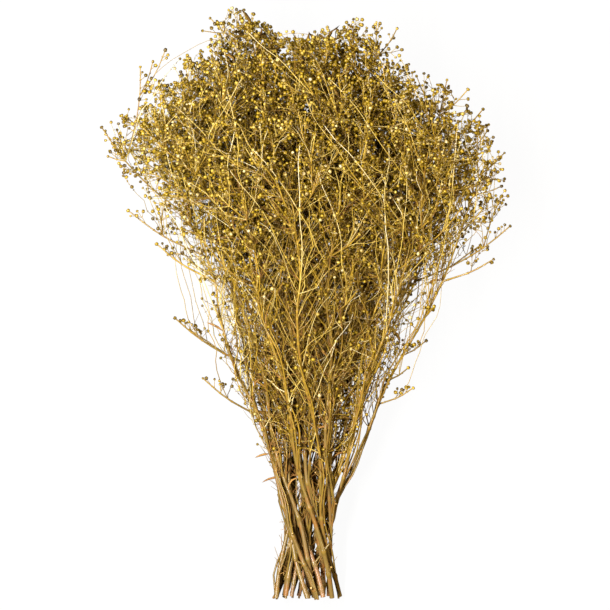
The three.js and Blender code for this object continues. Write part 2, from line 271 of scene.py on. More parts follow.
# %% Settling the axes
SETTLE_ROUNDS = 110
LAST_ROUNDS = 40
SMOOTHING = 0.35
RETURN = 0.03
PULL = 0.01
PULL_Y = (-250, -180)
SINK = 0.8  # a rod may press this far into the surface


def relax(axis, rest):
    strayed = [(p[0] - r[0], p[2] - r[2]) for p, r in zip(axis["points"], rest)]
    for i, point in enumerate(axis["points"]):
        before, after = strayed[max(i - 1, 0)], strayed[min(i + 1, len(strayed) - 1)]
        for side, c in enumerate((0, 2)):
            even = (before[side] + after[side]) / 2 - strayed[i][side]
            point[c] += SMOOTHING * even - RETURN * strayed[i][side]
        if PULL_Y[0] < point[1] < PULL_Y[1]:
            point[0] += PULL * (outline_at(point[1])[0] - point[0])
            point[2] += PULL * (axis_z(point[1]) - point[2])


def settle(axes):
    rest = [[list(point) for point in axis["points"]] for axis in axes]
    for turn in range(SETTLE_ROUNDS):
        if turn < SETTLE_ROUNDS - LAST_ROUNDS:
            for axis, line in zip(axes, rest):
                relax(axis, line)
        for k, first in enumerate(axes):
            for second in axes[k + 1:]:
                last = len(second["points"]) - 1
                for i in range(len(first["points"]) - 1):
                    for j in range(max(i - 1, 0), min(i + 2, last)):
                        push_apart(first, i, second, j)
        for axis in axes:
            for point, radius in zip(axis["points"], axis["radii"]):
                point[2] = max(point[2], radius - SINK)


settle(axes)
print("axes settled, tallest ends at", max(axis["points"][-1][1] for axis in axes), "mm")

# %% [markdown]
# ## First branches
# Rather than drawing each branch, the rule scatters places where sprays end and grows a branch to each.
# Branches of different stems have to keep clear of each other. To compare each with all the others would
# be slow, so space is cut into cells, and each cell remembers what passes through it.

# %% Which cells a branch passes
CELL = 24
BRANCH_GAP = 0.4
grid = {}


def cells_round(a, b, reach):
    spans = []
    for p, q in zip(a, b):
        low, high = math.floor((min(p, q) - reach) / CELL), math.floor((max(p, q) + reach) / CELL)
        spans.append(range(low, high + 1))
    return [(x, y, z) for x in spans[0] for y in spans[1] for z in spans[2]]


def claim(points, radii, stem):
    for i in range(len(points) - 1):
        radius = max(radii[i], radii[i + 1])
        for cell in cells_round(points[i], points[i + 1], radius):
            grid.setdefault(cell, []).append((points[i], points[i + 1], radius, stem))


def is_clear(a, b, radius, stem):
    for cell in cells_round(a, b, radius + BRANCH_GAP):
        for c, d, other_radius, other in grid.get(cell, ()):
            if other is not stem and nearest(a, b, c, d)[4] < radius + other_radius + BRANCH_GAP:
                return False
    return True


print("a branch of 60 mm passes", len(cells_round([0, 0, 0], [60, 5, 5], 2)), "cells")

# %% [markdown]
# ### Places spread evenly through the crown
# Random places would clump. Multiples of an irrational number never do: each new place falls into a gap
# that the earlier ones left. One number and its powers serve the three directions. The same row of places
# is used three times in this lesson, each time from another start.

# %% Places in the crown
EVEN_SPACING = 1.2207440846057596  # the root of x^4 = x + 1 spreads points evenly in space
CROWN_X = (-205, 205)
CROWN_Z = (0, 225)
CROWN_Y = (-115, 280)
CROWN_PLACES = 2400
FULL_Y = 95  # below this height a gap counts for less, down to the least share
LEAST_SHARE = 0.5
HEAD_RADIUS = 2.05
HEAD_SINK = 0.6
RESTING_Z = 15  # heads lower than this rest on the surface


def scattered(n, y_range, starts, lowest=CROWN_Z[0]):
    """Place number n in the box around the crown."""
    y = mix(*y_range, (starts[0] + n / EVEN_SPACING) % 1)
    x = mix(*CROWN_X, (starts[1] + n / EVEN_SPACING**2) % 1)
    return x, y, mix(lowest, CROWN_Z[1], (starts[2] + n / EVEN_SPACING**3) % 1)


def places_in_crown():
    """Places spread evenly through the crown, and how much a gap counts at each of them."""
    places, counts = [], []
    n = 0
    while len(places) < CROWN_PLACES:
        n += 1
        x, y, z = scattered(n, CROWN_Y, (0.5, 0.5, 0.5))
        middle, half = outline_at(y)
        u, v = (x - middle) / half, (z - axis_z(y)) / (half * DEPTH_SHARE)
        if u * u + v * v > 1:
            continue
        places.append([x, y, HEAD_RADIUS - HEAD_SINK if z < RESTING_Z else z])
        counts.append(min(1, mix(LEAST_SHARE, 1, (y - CROWN_Y[0]) / (FULL_Y - CROWN_Y[0]))))
    return np.array(places), np.array(counts)


places, counts = places_in_crown()
print(len(places), "places, the lowest at", round(float(places[:, 1].min())), "mm along the bunch")

# %% [markdown]
# ### What a branch costs
# A gypsophila branch leaves its joint at about 30 degrees and forks at most a few times before the fine
# twigs begin. So each joint is given a price for a place: the way to it, more if the slant is wrong, more
# on a stem that already bears many branches. The cheapest joint gets the branch.

# %% Joints and the price of a branch
BRANCH_REACH = (16, 230)
BRANCH_ANGLE = 0.55
ANGLE_SPREAD = 0.45
ANGLE_COST = 0.7
ORDER_COST = 9
CROWD_COST = 11
MOST_ORDERS = 3


def add_joints(stem, points, radii, order, first):
    for i in range(first, len(points) - 1):
        step = way(points[i], points[i + 1])
        direction = unit(step)
        stem["joints"].append((points[i], direction, radii[i], order))
        if order == 0:
            halfway = along_from(points[i], step, 0.5)
            stem["joints"].append((halfway, direction, (radii[i] + radii[i + 1]) / 2, order))


def wiring_cost(joint, end, stem):
    at, direction, _, order = joint
    line = way(at, end)
    length = size(line)
    if length < BRANCH_REACH[0] or length > BRANCH_REACH[1] or order >= MOST_ORDERS:
        return math.inf
    angle = math.acos(within(-1, dot(line, direction) / length, 1))
    bend = (angle - BRANCH_ANGLE) / ANGLE_SPREAD
    crowd = CROWD_COST * len(stem["branches"])
    return length * (1 + ANGLE_COST * bend * bend) + ORDER_COST * order + crowd


straight_up = ([0, 0, 0], [0, 1, 0], 2, 0)
for slant in (0.1, BRANCH_ANGLE, 1.2):
    end = [100 * math.sin(slant), 100 * math.cos(slant), 0]
    print("100 mm at", slant, "radians costs", round(wiring_cost(straight_up, end, {"branches": []})))

# %% [markdown]
# ### The line of a branch
# A branch leaves outwards and bends up on its way. Two ends and one point aside give such a bow. `bowed`
# and `tapered` are used again for all the finer twigs.

# %% Bowed and tapered lines
BRANCH_BOW = 0.13
BRANCH_STEP = 38
BRANCH_RADIUS = (0.55, 0.0065)  # at the tip, and how much more for each millimetre of length


def bowed(at, aside, end, count):
    """A line of so many steps that sets out towards a point aside and arrives from it."""
    points = []
    for k in range(count + 1):
        t = k / count
        weights = ((1 - t) ** 2, 2 * (1 - t) * t, t * t)
        points.append([sum(w * p[c] for w, p in zip(weights, (at, aside, end))) for c in range(3)])
    return points


def tapered(root, tip, count):
    return [mix(root, tip, k / count) for k in range(count + 1)]


def branch_path(joint, end, aside, across):
    at, direction, radius, _ = joint
    line = way(at, end)
    length = size(line)
    outward = unit(along_from(line, direction, -dot(line, direction)))
    bow = along_from(at, line, 0.5)
    bow = along_from(bow, outward, BRANCH_BOW * length + across)
    bow = along_from(bow, cross(outward, direction), aside)
    count = int(within(2, math.floor(length / BRANCH_STEP + 0.5), 6))
    root = min(BRANCH_RADIUS[0] + BRANCH_RADIUS[1] * length, 0.85 * radius)
    return bowed(at, bow, end, count), tapered(root, min(root, BRANCH_RADIUS[0]), count)


print("a branch of 100 mm has", len(branch_path(straight_up, [60, 80, 0], 0, 0)[0]), "points")

# %% [markdown]
# ### A way that is clear
# Where the way is blocked, the point aside is moved and the branch tries again, as a shoot finds its way
# between others. If no bow fits, the next cheapest joint has its turn.

# %% Growing a branch
SIDESTEPS = (0, 9, -9, 20, -20, 34, -34)
BOW_STEPS = (0, 10, -8)
PARENTS_TRIED = 6


def fits(points, radii, stem):
    for i in range(len(points) - 1):
        if points[i + 1][2] < radii[i + 1] or not is_clear(points[i], points[i + 1], radii[i], stem):
            return False
    end = points[-1]
    return is_clear(end, [end[0], end[1], end[2] + 0.01], HEAD_RADIUS, stem)


def grow_branch(stems, end):
    choices = [(wiring_cost(j, end, s), s, j) for s in stems for j in s["joints"]]
    choices.sort(key=lambda choice: choice[0])
    for cost, stem, joint in choices[:PARENTS_TRIED]:
        if cost == math.inf:
            break
        for aside in SIDESTEPS:
            for across in BOW_STEPS:
                points, radii = branch_path(joint, end, aside, across)
                if not fits(points, radii, stem):
                    continue
                stem["branches"].append({"points": points, "radii": radii, "order": joint[3] + 1})
                claim(points, radii, stem)
                claim([end, [end[0], end[1], end[2] + 0.01]], [HEAD_RADIUS] * 2, stem)
                add_joints(stem, points, radii, joint[3] + 1, 1)
                return points
    return None


print("ways tried for a branch, at most:", PARENTS_TRIED * len(SIDESTEPS) * len(BOW_STEPS))

# %% [markdown]
# ### Lone sprays first
# A few sprays stand out from the bunch and make its outline recognisable: lobes of the crown, and single
# branches beside the fan. They are given by place and grow first, while there is room. One that finds
# no clear way is nudged and tries again.

# %% Lone sprays
FIRST_FORK_Y = -140
NUDGES = 3
NUDGE = 7
LONE_SPRAYS = [
    (-205, 180, 122), (-199, 152, 104), (-179, 97, 84), (-150, 63, 92),
    (-132, -12, 74), (-117, -24, 58), (-104, -73, 66),
    (108, -83, 62), (103, -62, 84), (121, -35, 70), (129, 0, 96),
    (189, 48, 92), (205, 81, 112), (176, 62, 70),
    (-74, 300, 120), (-96, 291, 108), (-53, 293, 134), (-103, 278, 128),
    (71, 286, 122), (91, 279, 138), (81, 264, 104),
    (142, 228, 112), (162, 218, 130), (178, 199, 104),
    (-167, 241, 118), (-155, 247, 104), (-142, 257, 134),
]
stems = [{"axis": axis, "joints": [], "branches": []} for axis in axes]
for stem in stems:
    claim(stem["axis"]["points"], stem["axis"]["radii"], stem)
    first_joint = math.ceil((FIRST_FORK_Y - CUT_Y) / AXIS_STEP)
    add_joints(stem, stem["axis"]["points"], stem["axis"]["radii"], 0, first_joint)
for place in LONE_SPRAYS:
    grown = grow_branch(stems, list(place))
    for _ in range(NUDGES):
        if grown:
            break
        aside, onward, upward = random(), random(), random()
        nudged = [place[0] + (aside - 0.5) * 2 * NUDGE, place[1] + (onward - 0.5) * 2 * NUDGE]
        grown = grow_branch(stems, nudged + [place[2] + upward * NUDGE])
print("lone sprays:", sum(len(stem["branches"]) for stem in stems))

# %% [markdown]
# ### Then always into the widest gap
# Buds wake where there is light, so a crown closes its gaps by itself. The rule does the same: it keeps
# for every place the distance to the nearest branch, and grows the next branch to the place where that is
# widest.

# %% Filling the widest gaps
SPRAY_COUNT = 280


def distance_to(points, places):
    """How far each of the places is from the nearest part of a line."""
    least = np.full(len(places), math.inf)
    for start, end in zip(points, points[1:]):
        line, off = way(start, end), places - np.array(start)
        share = (off[:, 0] * line[0] + off[:, 1] * line[1] + off[:, 2] * line[2]) / dot(line, line)
        off -= np.outer(np.clip(share, 0, 1), line)
        least = np.minimum(least, np.sqrt(off[:, 0] ** 2 + off[:, 1] ** 2 + off[:, 2] ** 2))
    return least


gaps = np.full(len(places), math.inf)
for stem in stems:
    for line in [stem["axis"]] + stem["branches"]:
        gaps = np.minimum(gaps, counts * distance_to(line["points"], places))
grown_sprays = len(LONE_SPRAYS)
while grown_sprays < SPRAY_COUNT:
    widest = int(np.argmax(gaps))
    gaps[widest] = 0
    branch = grow_branch(stems, places[widest].tolist())
    if branch:
        gaps = np.minimum(gaps, counts * distance_to(branch, places))
        grown_sprays += 1
print("branches:", sum(len(stem["branches"]) for stem in stems), "and the widest gap is", round(gaps.max()))

# %% [markdown]
# A skeleton that drifted from its solids would hang in the air beside them, so each stem's own box is
# compared with its solid's box before anything is built on it.

# %% Skeleton against solids
def skeleton_box(stem):
    lines = [stem["axis"]] + stem["branches"]
    reach = np.array([point for line in lines for point in line["points"]])
    return reach.min(axis=0), reach.max(axis=0)


def stem_name(index):
    return f"stem_{index + 1:02d}"


strayed = []
for index, stem in enumerate(stems):
    for mine, solid in zip(skeleton_box(stem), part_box(stem_name(index))):
        strayed.append(np.abs(mine - np.array(solid) / MM).max())
print("furthest that a skeleton's box is from its solid's box:", round(max(strayed), 2), "mm")

# %% [markdown]
# ## Fine growth
# From here on the lesson goes past the solids. The fine growth may fill the bunch's outline but not leave
# it, so every twig asks first whether it is welcome where it wants to end. The outline is smooth. Along
# its top a second line, `TOP_LINE`, cuts it into the lobes in which the crown ends.

# %% Where a twig may end
TOP_LINE = [
    (-206, 184), (-169, 242), (-145, 257), (-120, 269), (-96, 298), (-71, 303), (-47, 294), (-30, 277),
    (27, 281), (50, 292), (75, 288), (90, 283), (112, 243), (137, 225), (161, 211), (190, 178), (210, 122),
]
OUTER_EDGE = 1.035
SIDE_X = 206
FLOOR_GAP = 2.2


def top_at(x):
    """The height at which the crown's lumpy top edge runs at this place across the bunch."""
    for (x0, y0), (x1, y1) in zip(TOP_LINE, TOP_LINE[1:]):
        if x <= x1:
            return mix(y0, y1, within(0, (x - x0) / (x1 - x0), 1))
    return TOP_LINE[-1][1]


def room(point):
    """How far out in the bunch a point is: 1 is its outline."""
    middle, half = outline_at(point[1])
    return math.hypot((point[0] - middle) / half, (point[2] - axis_z(point[1])) / (half * DEPTH_SHARE))


def welcome(start, end):
    inside = room(end) < max(OUTER_EDGE, room(start) + 0.02)
    return inside and end[2] > FLOOR_GAP and end[1] < top_at(end[0]) and abs(end[0]) < SIDE_X


print("top edge across the bunch:", {x: round(top_at(x)) for x in (-150, -71, 0, 75, 150)})

# %% [markdown]
# ### Where capsules belong
# Fine twigs grow where there is light, so a dried bunch is nearly bare below, lush in the crown, and loose
# at its edge, where the sprays stand in clumps with light between them. Three things say that here:
# `lush` is the share of buds that grow, `clump` is a slow wave over the edge, and `is_full` counts the
# capsules in cubes of 20 mm and stops the growth where there are enough. Without that limit the crown
# would be a solid ball.

# %% How lush and how full a place is
BARE_FROM = 1.04  # beyond the outline a branch stays bare, but for its last stretch
LONE_LUSH = 0.9
LUSH_Y = (-70, 80)
OUTER_LATER = 95  # at the outline the crown's first capsules come this much higher than in its middle
LEAST_LUSH = 0.1
CUBE = 20
FULL_CUBE = 17
CORE_SHARE = 0.82  # the middle of the crown is shaded and bears fewer than its outside
CORE_ENDS = 0.75
EDGE_BEGINS, EDGE_WIDTH = 0.66, 0.24
EDGE_SHARE = (0.05, 0.4)  # between clumps and in them
CLUMP = 7
crowd = {}


def lush(point):
    """The share of twigs that grow here: few in the fan of stems and on its outside, all in the crown."""
    out = room(point)
    if out > BARE_FROM:
        return LONE_LUSH
    y = point[1] - OUTER_LATER * min(1, out) ** 2
    return mix(LEAST_LUSH, 1, within(0, (y - LUSH_Y[0]) / (LUSH_Y[1] - LUSH_Y[0]), 1))


def cube(point):
    return tuple(math.floor(c / CUBE) for c in point)


def clump(point):
    """Sprays at the outline stand in clumps about 40 mm apart: 1 in a clump, 0 between them."""
    x, y = point[0] / CLUMP, point[1] / CLUMP
    return 0.5 + 0.5 * math.sin(x + 2 * math.sin(0.7 * y)) * math.sin(1.1 * y + 2 * math.sin(0.6 * x))


def is_full(point, share=1):
    """Whether the capsules near a point already take up the room that they get there."""
    out = room(point)
    edge = mix(*EDGE_SHARE, clump(point))
    core = mix(CORE_SHARE, 1, within(0, out / CORE_ENDS, 1))
    airy = core * mix(1, edge, within(0, (out - EDGE_BEGINS) / EDGE_WIDTH, 1))
    return crowd.get(cube(point), 0) >= share * FULL_CUBE * lush(point) * airy


print("share of buds that grow:", {y: round(lush([0, y, axis_z(y)]), 2) for y in (-100, 0, 60, 200)})

# %% [markdown]
# ### Directions of a fork
# Gypsophila is decussate: twigs leave a joint in opposite pairs, and each pair stands a quarter turn round
# from the last. So a twig needs a turn around its rod and an angle away from it, and a way to find the
# place where it leaves, measured back from the tip, because the spacing of the joints is ruled by the tip.

# %% Turns, forks and places on a line
fine = seeded(29)


def sideways(direction, turn):
    first = unit(cross(direction, [0.3, 0.2, 0.93]))
    second = cross(direction, first)
    return [first[c] * math.cos(turn) + second[c] * math.sin(turn) for c in range(3)]


def forked(direction, turn, angle):
    """The direction of a twig that leaves a rod at this turn around it and this angle from it."""
    return along_from([c * math.cos(angle) for c in direction], sideways(direction, turn), math.sin(angle))


def before_tip(points, distance):
    """The point that far before a line's tip, with the line's direction there."""
    for start, end in zip(points[-2::-1], points[:0:-1]):
        length = size(way(start, end))
        if distance <= length:
            return along_from(end, way(end, start), distance / length), unit(way(start, end))
        distance -= length
    return None


print("a fork of 90 degrees:", [round(c, 2) for c in forked([0, 1, 0], 0, math.pi / 2)])

# %% [markdown]
# ### What twigs end in
# Every twig that flowered ends in a seed capsule. Its place, its direction and its size are noted now,
# and its skin is made much later. It leans a little off its stalk, and is counted in its cube.

# %% Capsules
CAPSULE_RADIUS = (1.35, 2.2)
CAPSULE_LEAN = 0.5


def add_capsule(stem, at, direction):
    radius = mix(*CAPSULE_RADIUS, fine())
    lean = [direction[c] + (fine() - 0.5) * CAPSULE_LEAN for c in range(3)]
    stem["capsules"].append((along_from(at, direction, radius * 0.8), unit(lean), radius))
    crowd[cube(at)] = crowd.get(cube(at), 0) + 1


GROWTH = ("capsules", "stalks", "twigs", "forks", "wires", "side_stems", "dead_twigs")
for stem in stems:
    stem.update({kind: [] for kind in GROWTH})
print("each stem keeps lists of", ", ".join(GROWTH))

# %% [markdown]
# ### One twig
# A twig leaves at 35 to 50 degrees and bends up at its middle. One that isn't welcome where it would end,
# or that finds its place full, tries another turn, then a shorter length, and is left out after that. The
# shortest are bare hair stalks with a capsule.

# %% Twigs
FORK_ANGLE = (0.6, 0.88)
TRIES = ((0, 1), (math.pi / 2, 1), (-math.pi / 2, 0.7), (0, 0.5))  # turn aside, and share of the length
TWIG_BEND = 0.35
TWIG_RADIUS = (0.36, 0.006)
BEARING = 0.82  # the share of a twig's length that bears twigs again
STALK_FROM = 11  # twigs shorter than this are bare stalks with one capsule
STALK = (5, 9)
STALK_RADIUS = (0.35, 0.28)
KEEP_TWIG = 0.8  # the share of side twigs that grow on a twig


def grow_twig(stem, at, direction, turn, length):
    angle = mix(*FORK_ANGLE, fine())
    for aside, share in TRIES:
        outward = forked(direction, turn + aside, angle)
        reach = length * share
        end = along_from(at, outward, reach)
        if welcome(at, end) and not is_full(end):
            break
    else:
        return
    if reach < STALK_FROM:
        tip = along_from(at, outward, within(STALK[0], reach, STALK[1]))
        stem["stalks"].append(([at, tip], list(STALK_RADIUS)))
        add_capsule(stem, tip, outward)
        return
    elbow = along_from(at, outward, reach / 2)
    onward = unit(along_from(outward, direction, TWIG_BEND))
    tip = along_from(elbow, onward, reach / 2)
    root = TWIG_RADIUS[0] + TWIG_RADIUS[1] * reach
    points = [at, elbow, tip]
    stem["twigs"].append((points, [root, mix(root, STALK_RADIUS[1], 0.5), STALK_RADIUS[1]]))
    add_capsule(stem, tip, onward)
    grow_pairs(stem, points, reach * BEARING, KEEP_TWIG)


print("stalks:", STALK, "mm long, capsules:", [2 * radius for radius in CAPSULE_RADIUS], "mm thick")

# %% [markdown]
# ### Pairs of twigs
# The panicle of gypsophila repeats one step at every size. A joint bears a pair of side twigs, joints come
# closer together towards the tip, and a side twig is always shorter than what is left of its leader. So
# one function that places pairs along a line, and is called again by each twig that is long enough, gives
# the whole cloud.

# %% Pairs along a line
JOINT_STEP = 0.38  # each joint is this share of the remaining length nearer to the tip
LONGEST_STEP = 26
LAST_JOINT = 6
BARE_REACH = 42
SIDE_SHARE = (0.5, 0.74)
LONGEST_SIDE = 46


def grow_pairs(stem, points, reach, keep):
    turn = fine() * math.pi
    while reach > LAST_JOINT:
        found = before_tip(points, reach)
        if found and (reach < BARE_REACH or room(found[0]) < BARE_FROM):
            at, direction = found
            if keep != KEEP_TWIG:
                stem["forks"].append((at, direction, turn))
            for side in (0, math.pi):
                if fine() < keep * lush(at):
                    length = min(reach * mix(*SIDE_SHARE, fine()), LONGEST_SIDE)
                    grow_twig(stem, at, direction, turn + side, length)
        turn += math.pi / 2 + (fine() - 0.5) * 0.5
        reach -= min(reach * JOINT_STEP, LONGEST_STEP)


reach, joints = 100, 0
while reach > LAST_JOINT:
    joints, reach = joints + 1, reach - min(reach * JOINT_STEP, LONGEST_STEP)
print("a line of 100 mm bears", joints, "pairs")

# %% [markdown]
# ### Bare twigs
# Low in the bunch the wiry twigs have lost their capsules and keep short bare twigs with an elbow, which
# catch in each other. They make the thicket between the straight stems.

# %% Bare twigs
BARE_CHANCE = 0.75
BARE_LENGTH = (8, 38)
BARE_ANGLE = (0.6, 1.3)
BARE_BEND = (-0.2, 0.6)
BARE_HEAD = 0.2
BARE_RADIUS = (0.3, 0.24, 0.18)


def grow_bare(stem, at, direction):
    angle, length = mix(*BARE_ANGLE, fine()), mix(*BARE_LENGTH, fine())
    outward = forked(direction, fine() * 2 * math.pi, angle)
    elbow = along_from(at, outward, length / 2)
    tip = along_from(elbow, unit(along_from(outward, direction, mix(*BARE_BEND, fine()))), length / 2)
    if welcome(at, tip):
        stem["twigs"].append(([at, elbow, tip], list(BARE_RADIUS)))
        if fine() < BARE_HEAD:
            add_capsule(stem, tip, unit(way(elbow, tip)))


print("bare twigs are", BARE_LENGTH[0], "to", BARE_LENGTH[1], "mm long and", 2 * BARE_RADIUS[0], "mm thick")

# %% [markdown]
# ### Wiry twigs
# Every joint also sends out a pair of long wiry twigs, which kink at each of their own joints and lift a
# little at each step. A smooth curve would look like hair here. A fresh kink at every 11 mm looks like
# wood that dried in its own way.

# %% Wiry twigs
WIRE_Y = (-165, 215)
WIRE_CHANCE = 1  # of the two at each joint
WIRE_LENGTH = (40, 150)
WIRE_STEP = 11
WIRE_KINK = 0.48
WIRE_LIFT = 0.09
WIRE_ANGLE = (0.4, 1.2)
WIRE_RADIUS = (0.6, 0.25)
WIRE_BEARING = 0.6
KEEP_WIRE = 0.58
BARE_Y = 60  # below this height wiry twigs bear short twigs without capsules
EDGE_ROOM = 0.72  # low and further out than this, most joints stay bare, and the fan stays slim
EDGE_SKIPPED = 0.6


def grow_wire(stem, at, direction, turn, thickest, angles=WIRE_ANGLE):
    angle, length = mix(*angles, fine()), mix(*WIRE_LENGTH, fine())
    heading = forked(direction, turn, angle)
    points = [at]
    for _ in range(int(length / WIRE_STEP)):
        kink = [(fine() - 0.5) * 2 * WIRE_KINK for _ in range(3)]
        heading = unit([heading[0] + kink[0], heading[1] + kink[1] + WIRE_LIFT, heading[2] + kink[2]])
        onward = along_from(points[-1], heading, WIRE_STEP)
        if not welcome(points[-1], onward):
            break
        points.append(onward)
    if len(points) < 3:
        return
    radii = tapered(min(WIRE_RADIUS[0], thickest * 0.7), WIRE_RADIUS[1], len(points) - 1)
    stem["wires"].append({"points": points, "radii": radii})
    add_capsule(stem, points[-1], heading)
    grow_pairs(stem, points, len(points) * WIRE_STEP * WIRE_BEARING, KEEP_WIRE)
    for here, onward in zip(points[1:], points[2:]):
        if here[1] < BARE_Y and fine() < BARE_CHANCE:
            grow_bare(stem, here, unit(way(here, onward)))


def grow_wires(stem, line):
    for i in range(1, len(line["points"]) - 1):
        at, onward = line["points"][i], line["points"][i + 1]
        slim_fan = at[1] < BARE_Y and room(at) > EDGE_ROOM
        if not WIRE_Y[0] < at[1] < WIRE_Y[1] or (slim_fan and fine() < EDGE_SKIPPED):
            continue
        turn = fine() * math.pi
        for side in (0, math.pi):
            if fine() < WIRE_CHANCE:
                grow_wire(stem, at, unit(way(at, onward)), turn + side, line["radii"][i])


print("a wiry twig kinks every", WIRE_STEP, "mm, up to", int(WIRE_LENGTH[1] / WIRE_STEP), "times")

# %% [markdown]
# ### Side stems
# Low joints send up long thin side stems, which run along with their parent between the others and wind
# around it a little. They fill the waist and the fan of the bunch.

# %% Side stems
SIDE_STEMS = 3
SIDE_START = (0, 6)
SIDE_STEPS = (5, 12)
SIDE_AWAY = (3.5, 12)
SIDE_PARTS = (1.8, 2.2)  # the most that it moves away, and in how many steps it has moved away once
SIDE_WIND = 0.09
SIDE_SWAY = 2.2
SIDE_SWAY_RATE = (1.9, 1.6)
SIDE_HELD = (0.9, 0.35)  # further out than this in the bunch, it keeps to its parent
SIDE_LEAD = 3
SIDE_RADIUS = (1.15, 0.4)
SIDE_OLDEST = (0.04, 0.25)
SIDE_YOUNGER = 0.22
SIDE_BEARING = 80


def grow_side_stem(stem):
    axis = stem["axis"]["points"]
    start, steps = int(mix(*SIDE_START, fine())), int(mix(*SIDE_STEPS, fine()))
    turn, away, wave = fine() * 2 * math.pi, mix(*SIDE_AWAY, fine()), fine() * 2 * math.pi
    points = []
    for k in range(min(steps, len(axis) - 1 - start) + 1):
        x, y, z = axis[start + k]
        out = away * min(SIDE_PARTS[0], k / SIDE_PARTS[1])
        turn += SIDE_WIND
        aside, above = out * math.cos(turn), out * math.sin(turn)
        held = 1 if room([x + aside, y, z + above]) < SIDE_HELD[0] else SIDE_HELD[1]
        x += held * aside + SIDE_SWAY * math.sin(k * SIDE_SWAY_RATE[0] + wave)
        z += held * above + SIDE_SWAY * math.cos(k * SIDE_SWAY_RATE[1] + wave)
        points.append([x, y + SIDE_LEAD * k / steps, max(z, SIDE_RADIUS[0])])
    oldest = mix(*SIDE_OLDEST, fine())
    side_stem = {"points": points, "radii": tapered(*SIDE_RADIUS, len(points) - 1),
                 "ages": (oldest, oldest + SIDE_YOUNGER)}
    stem["side_stems"].append(side_stem)
    add_capsule(stem, points[-1], unit(way(points[-2], points[-1])))
    grow_pairs(stem, points, SIDE_BEARING, KEEP_WIRE)
    return side_stem


print(SIDE_STEMS, "side stems for each stem,", 2 * SIDE_RADIUS[0], "mm thick at the root")

# %% [markdown]
# ### Dead twigs
# Around the rods hang short dead twigs that have lost their bark. They wander more than the living ones
# did, because they bent while they dried, and they take the colours of dead leaf.

# %% Dead twigs
DEAD_Y = (-285, 120)
DEAD_CHANCE = 0.62
DEAD_BUDS = 3
DEAD_PARTS = 3
DEAD_LENGTH = (12, 46)
DEAD_SPREAD = 1.5
DEAD_KINK = 0.8


def grow_dead_twigs(stem, line):
    for i, at in enumerate(line["points"][:-1]):
        for _ in range(DEAD_BUDS):
            if not DEAD_Y[0] < at[1] < DEAD_Y[1] or fine() > DEAD_CHANCE:
                continue
            heading = unit(way(at, line["points"][i + 1]))
            heading = unit([c + (fine() - 0.5) * DEAD_SPREAD for c in heading])
            step = mix(*DEAD_LENGTH, fine()) / DEAD_PARTS
            points = [list(at)]
            for _ in range(DEAD_PARTS):
                heading = unit([c + (fine() - 0.5) * DEAD_KINK for c in heading])
                onward = along_from(points[-1], heading, step)
                onward[2] = max(onward[2], 0.5)
                points.append(onward)
            if room(points[-1]) < 1:
                stem["dead_twigs"].append(points)


print("dead twigs are up to", DEAD_LENGTH[1], "mm long, at most", DEAD_BUDS, "at a joint")

# %% [markdown]
# ### The stems grow
# Now each stem grows in the order in which a real one would fill its room: side stems, wiry twigs, dead
# twigs, and last the pairs on its branches and on its own top. What grows first gets the room, because
# `is_full` holds back what comes later.

# %% Growing all 22 stems
FINE_REACH = 190
BRANCH_BEARING = 0.85
KEEP_BRANCH = 0.78
KEEP_AXIS = 0.55

for stem in stems:
    side_stems = [grow_side_stem(stem) for _ in range(SIDE_STEMS)]
    for line in [stem["axis"]] + stem["branches"] + side_stems:
        grow_wires(stem, line)
    for line in [stem["axis"]] + side_stems + stem["branches"]:
        grow_dead_twigs(stem, line)
    for branch in stem["branches"]:
        points = branch["points"]
        add_capsule(stem, points[-1], unit(way(points[-2], points[-1])))
        length = sum(size(way(a, b)) for a, b in zip(points, points[1:]))
        grow_pairs(stem, points, min(length * BRANCH_BEARING, FINE_REACH), KEEP_BRANCH)
    points = stem["axis"]["points"]
    add_capsule(stem, points[-1], unit(way(points[-2], points[-1])))
    grow_pairs(stem, points, FINE_REACH, KEEP_AXIS)


def grown_so_far():
    return {kind: sum(len(stem[kind]) for stem in stems) for kind in GROWTH}


print(grown_so_far())

# %% [markdown]
# ## Filling the gaps
# Real sprays grow towards the light, so a bunch has no holes from above. The same is done here: places are
# scattered through the crown once more, and where there are still too few capsules, one more twig grows
# there from the nearest joint that it can leave at a forking angle. To find that joint quickly, joints
# are kept in cells, and only the cells around the place and below it are searched.

# %% The best joint for a place
FILL_LENGTH = (12, 85)
JOINT_CELL = 40
joints_near = {}


def joint_cell(point):
    return tuple(math.floor(c / JOINT_CELL) for c in point)


def note_joints(stem, first):
    for at, direction, _ in stem["forks"][first:]:
        joints_near.setdefault(joint_cell(at), []).append((at, direction, stem))


def best_joint(end):
    best = (math.inf, None)
    cell = joint_cell(end)
    for dx in (-1, 0, 1):
        for dy in (-2, -1, 0):
            for dz in (-1, 0, 1):
                for at, direction, stem in joints_near.get((cell[0] + dx, cell[1] + dy, cell[2] + dz), ()):
                    line = way(at, end)
                    length = size(line)
                    if not FILL_LENGTH[0] < length < FILL_LENGTH[1]:
                        continue
                    angle = math.acos(within(-1, dot(line, direction) / length, 1))
                    cost = length * (1 + ((angle - BRANCH_ANGLE) / ANGLE_SPREAD) ** 2)
                    if cost < best[0]:
                        best = (cost, (at, direction, stem, length))
    return best[1]


for stem in stems:
    note_joints(stem, 0)
print("joints in", len(joints_near), "cells of", JOINT_CELL, "mm")

# %% [markdown]
# A twig that fills a gap is a bow like the branches, bears pairs of its own, and offers its joints to the
# next one. Towards the outline and under the top edge fewer are asked for, so that the edge stays loose.

# %% Filling
FILL_TRIES = 9000
FILL_Y = (-60, 300)
FILL_SHARE = 0.85
FILL_BOW = 0.12
FILL_STEPS = 4
FILL_RADIUS = (0.42, 0.72)
KEEP_FILL = 0.95
LOW_EDGE = (0.8, 120)  # at the crown's foot the edge lies at this share, and is full out after so many mm
EDGE_FADE = (5, 1.08)
TOP_FADE = 20
LEAST_Z = 4


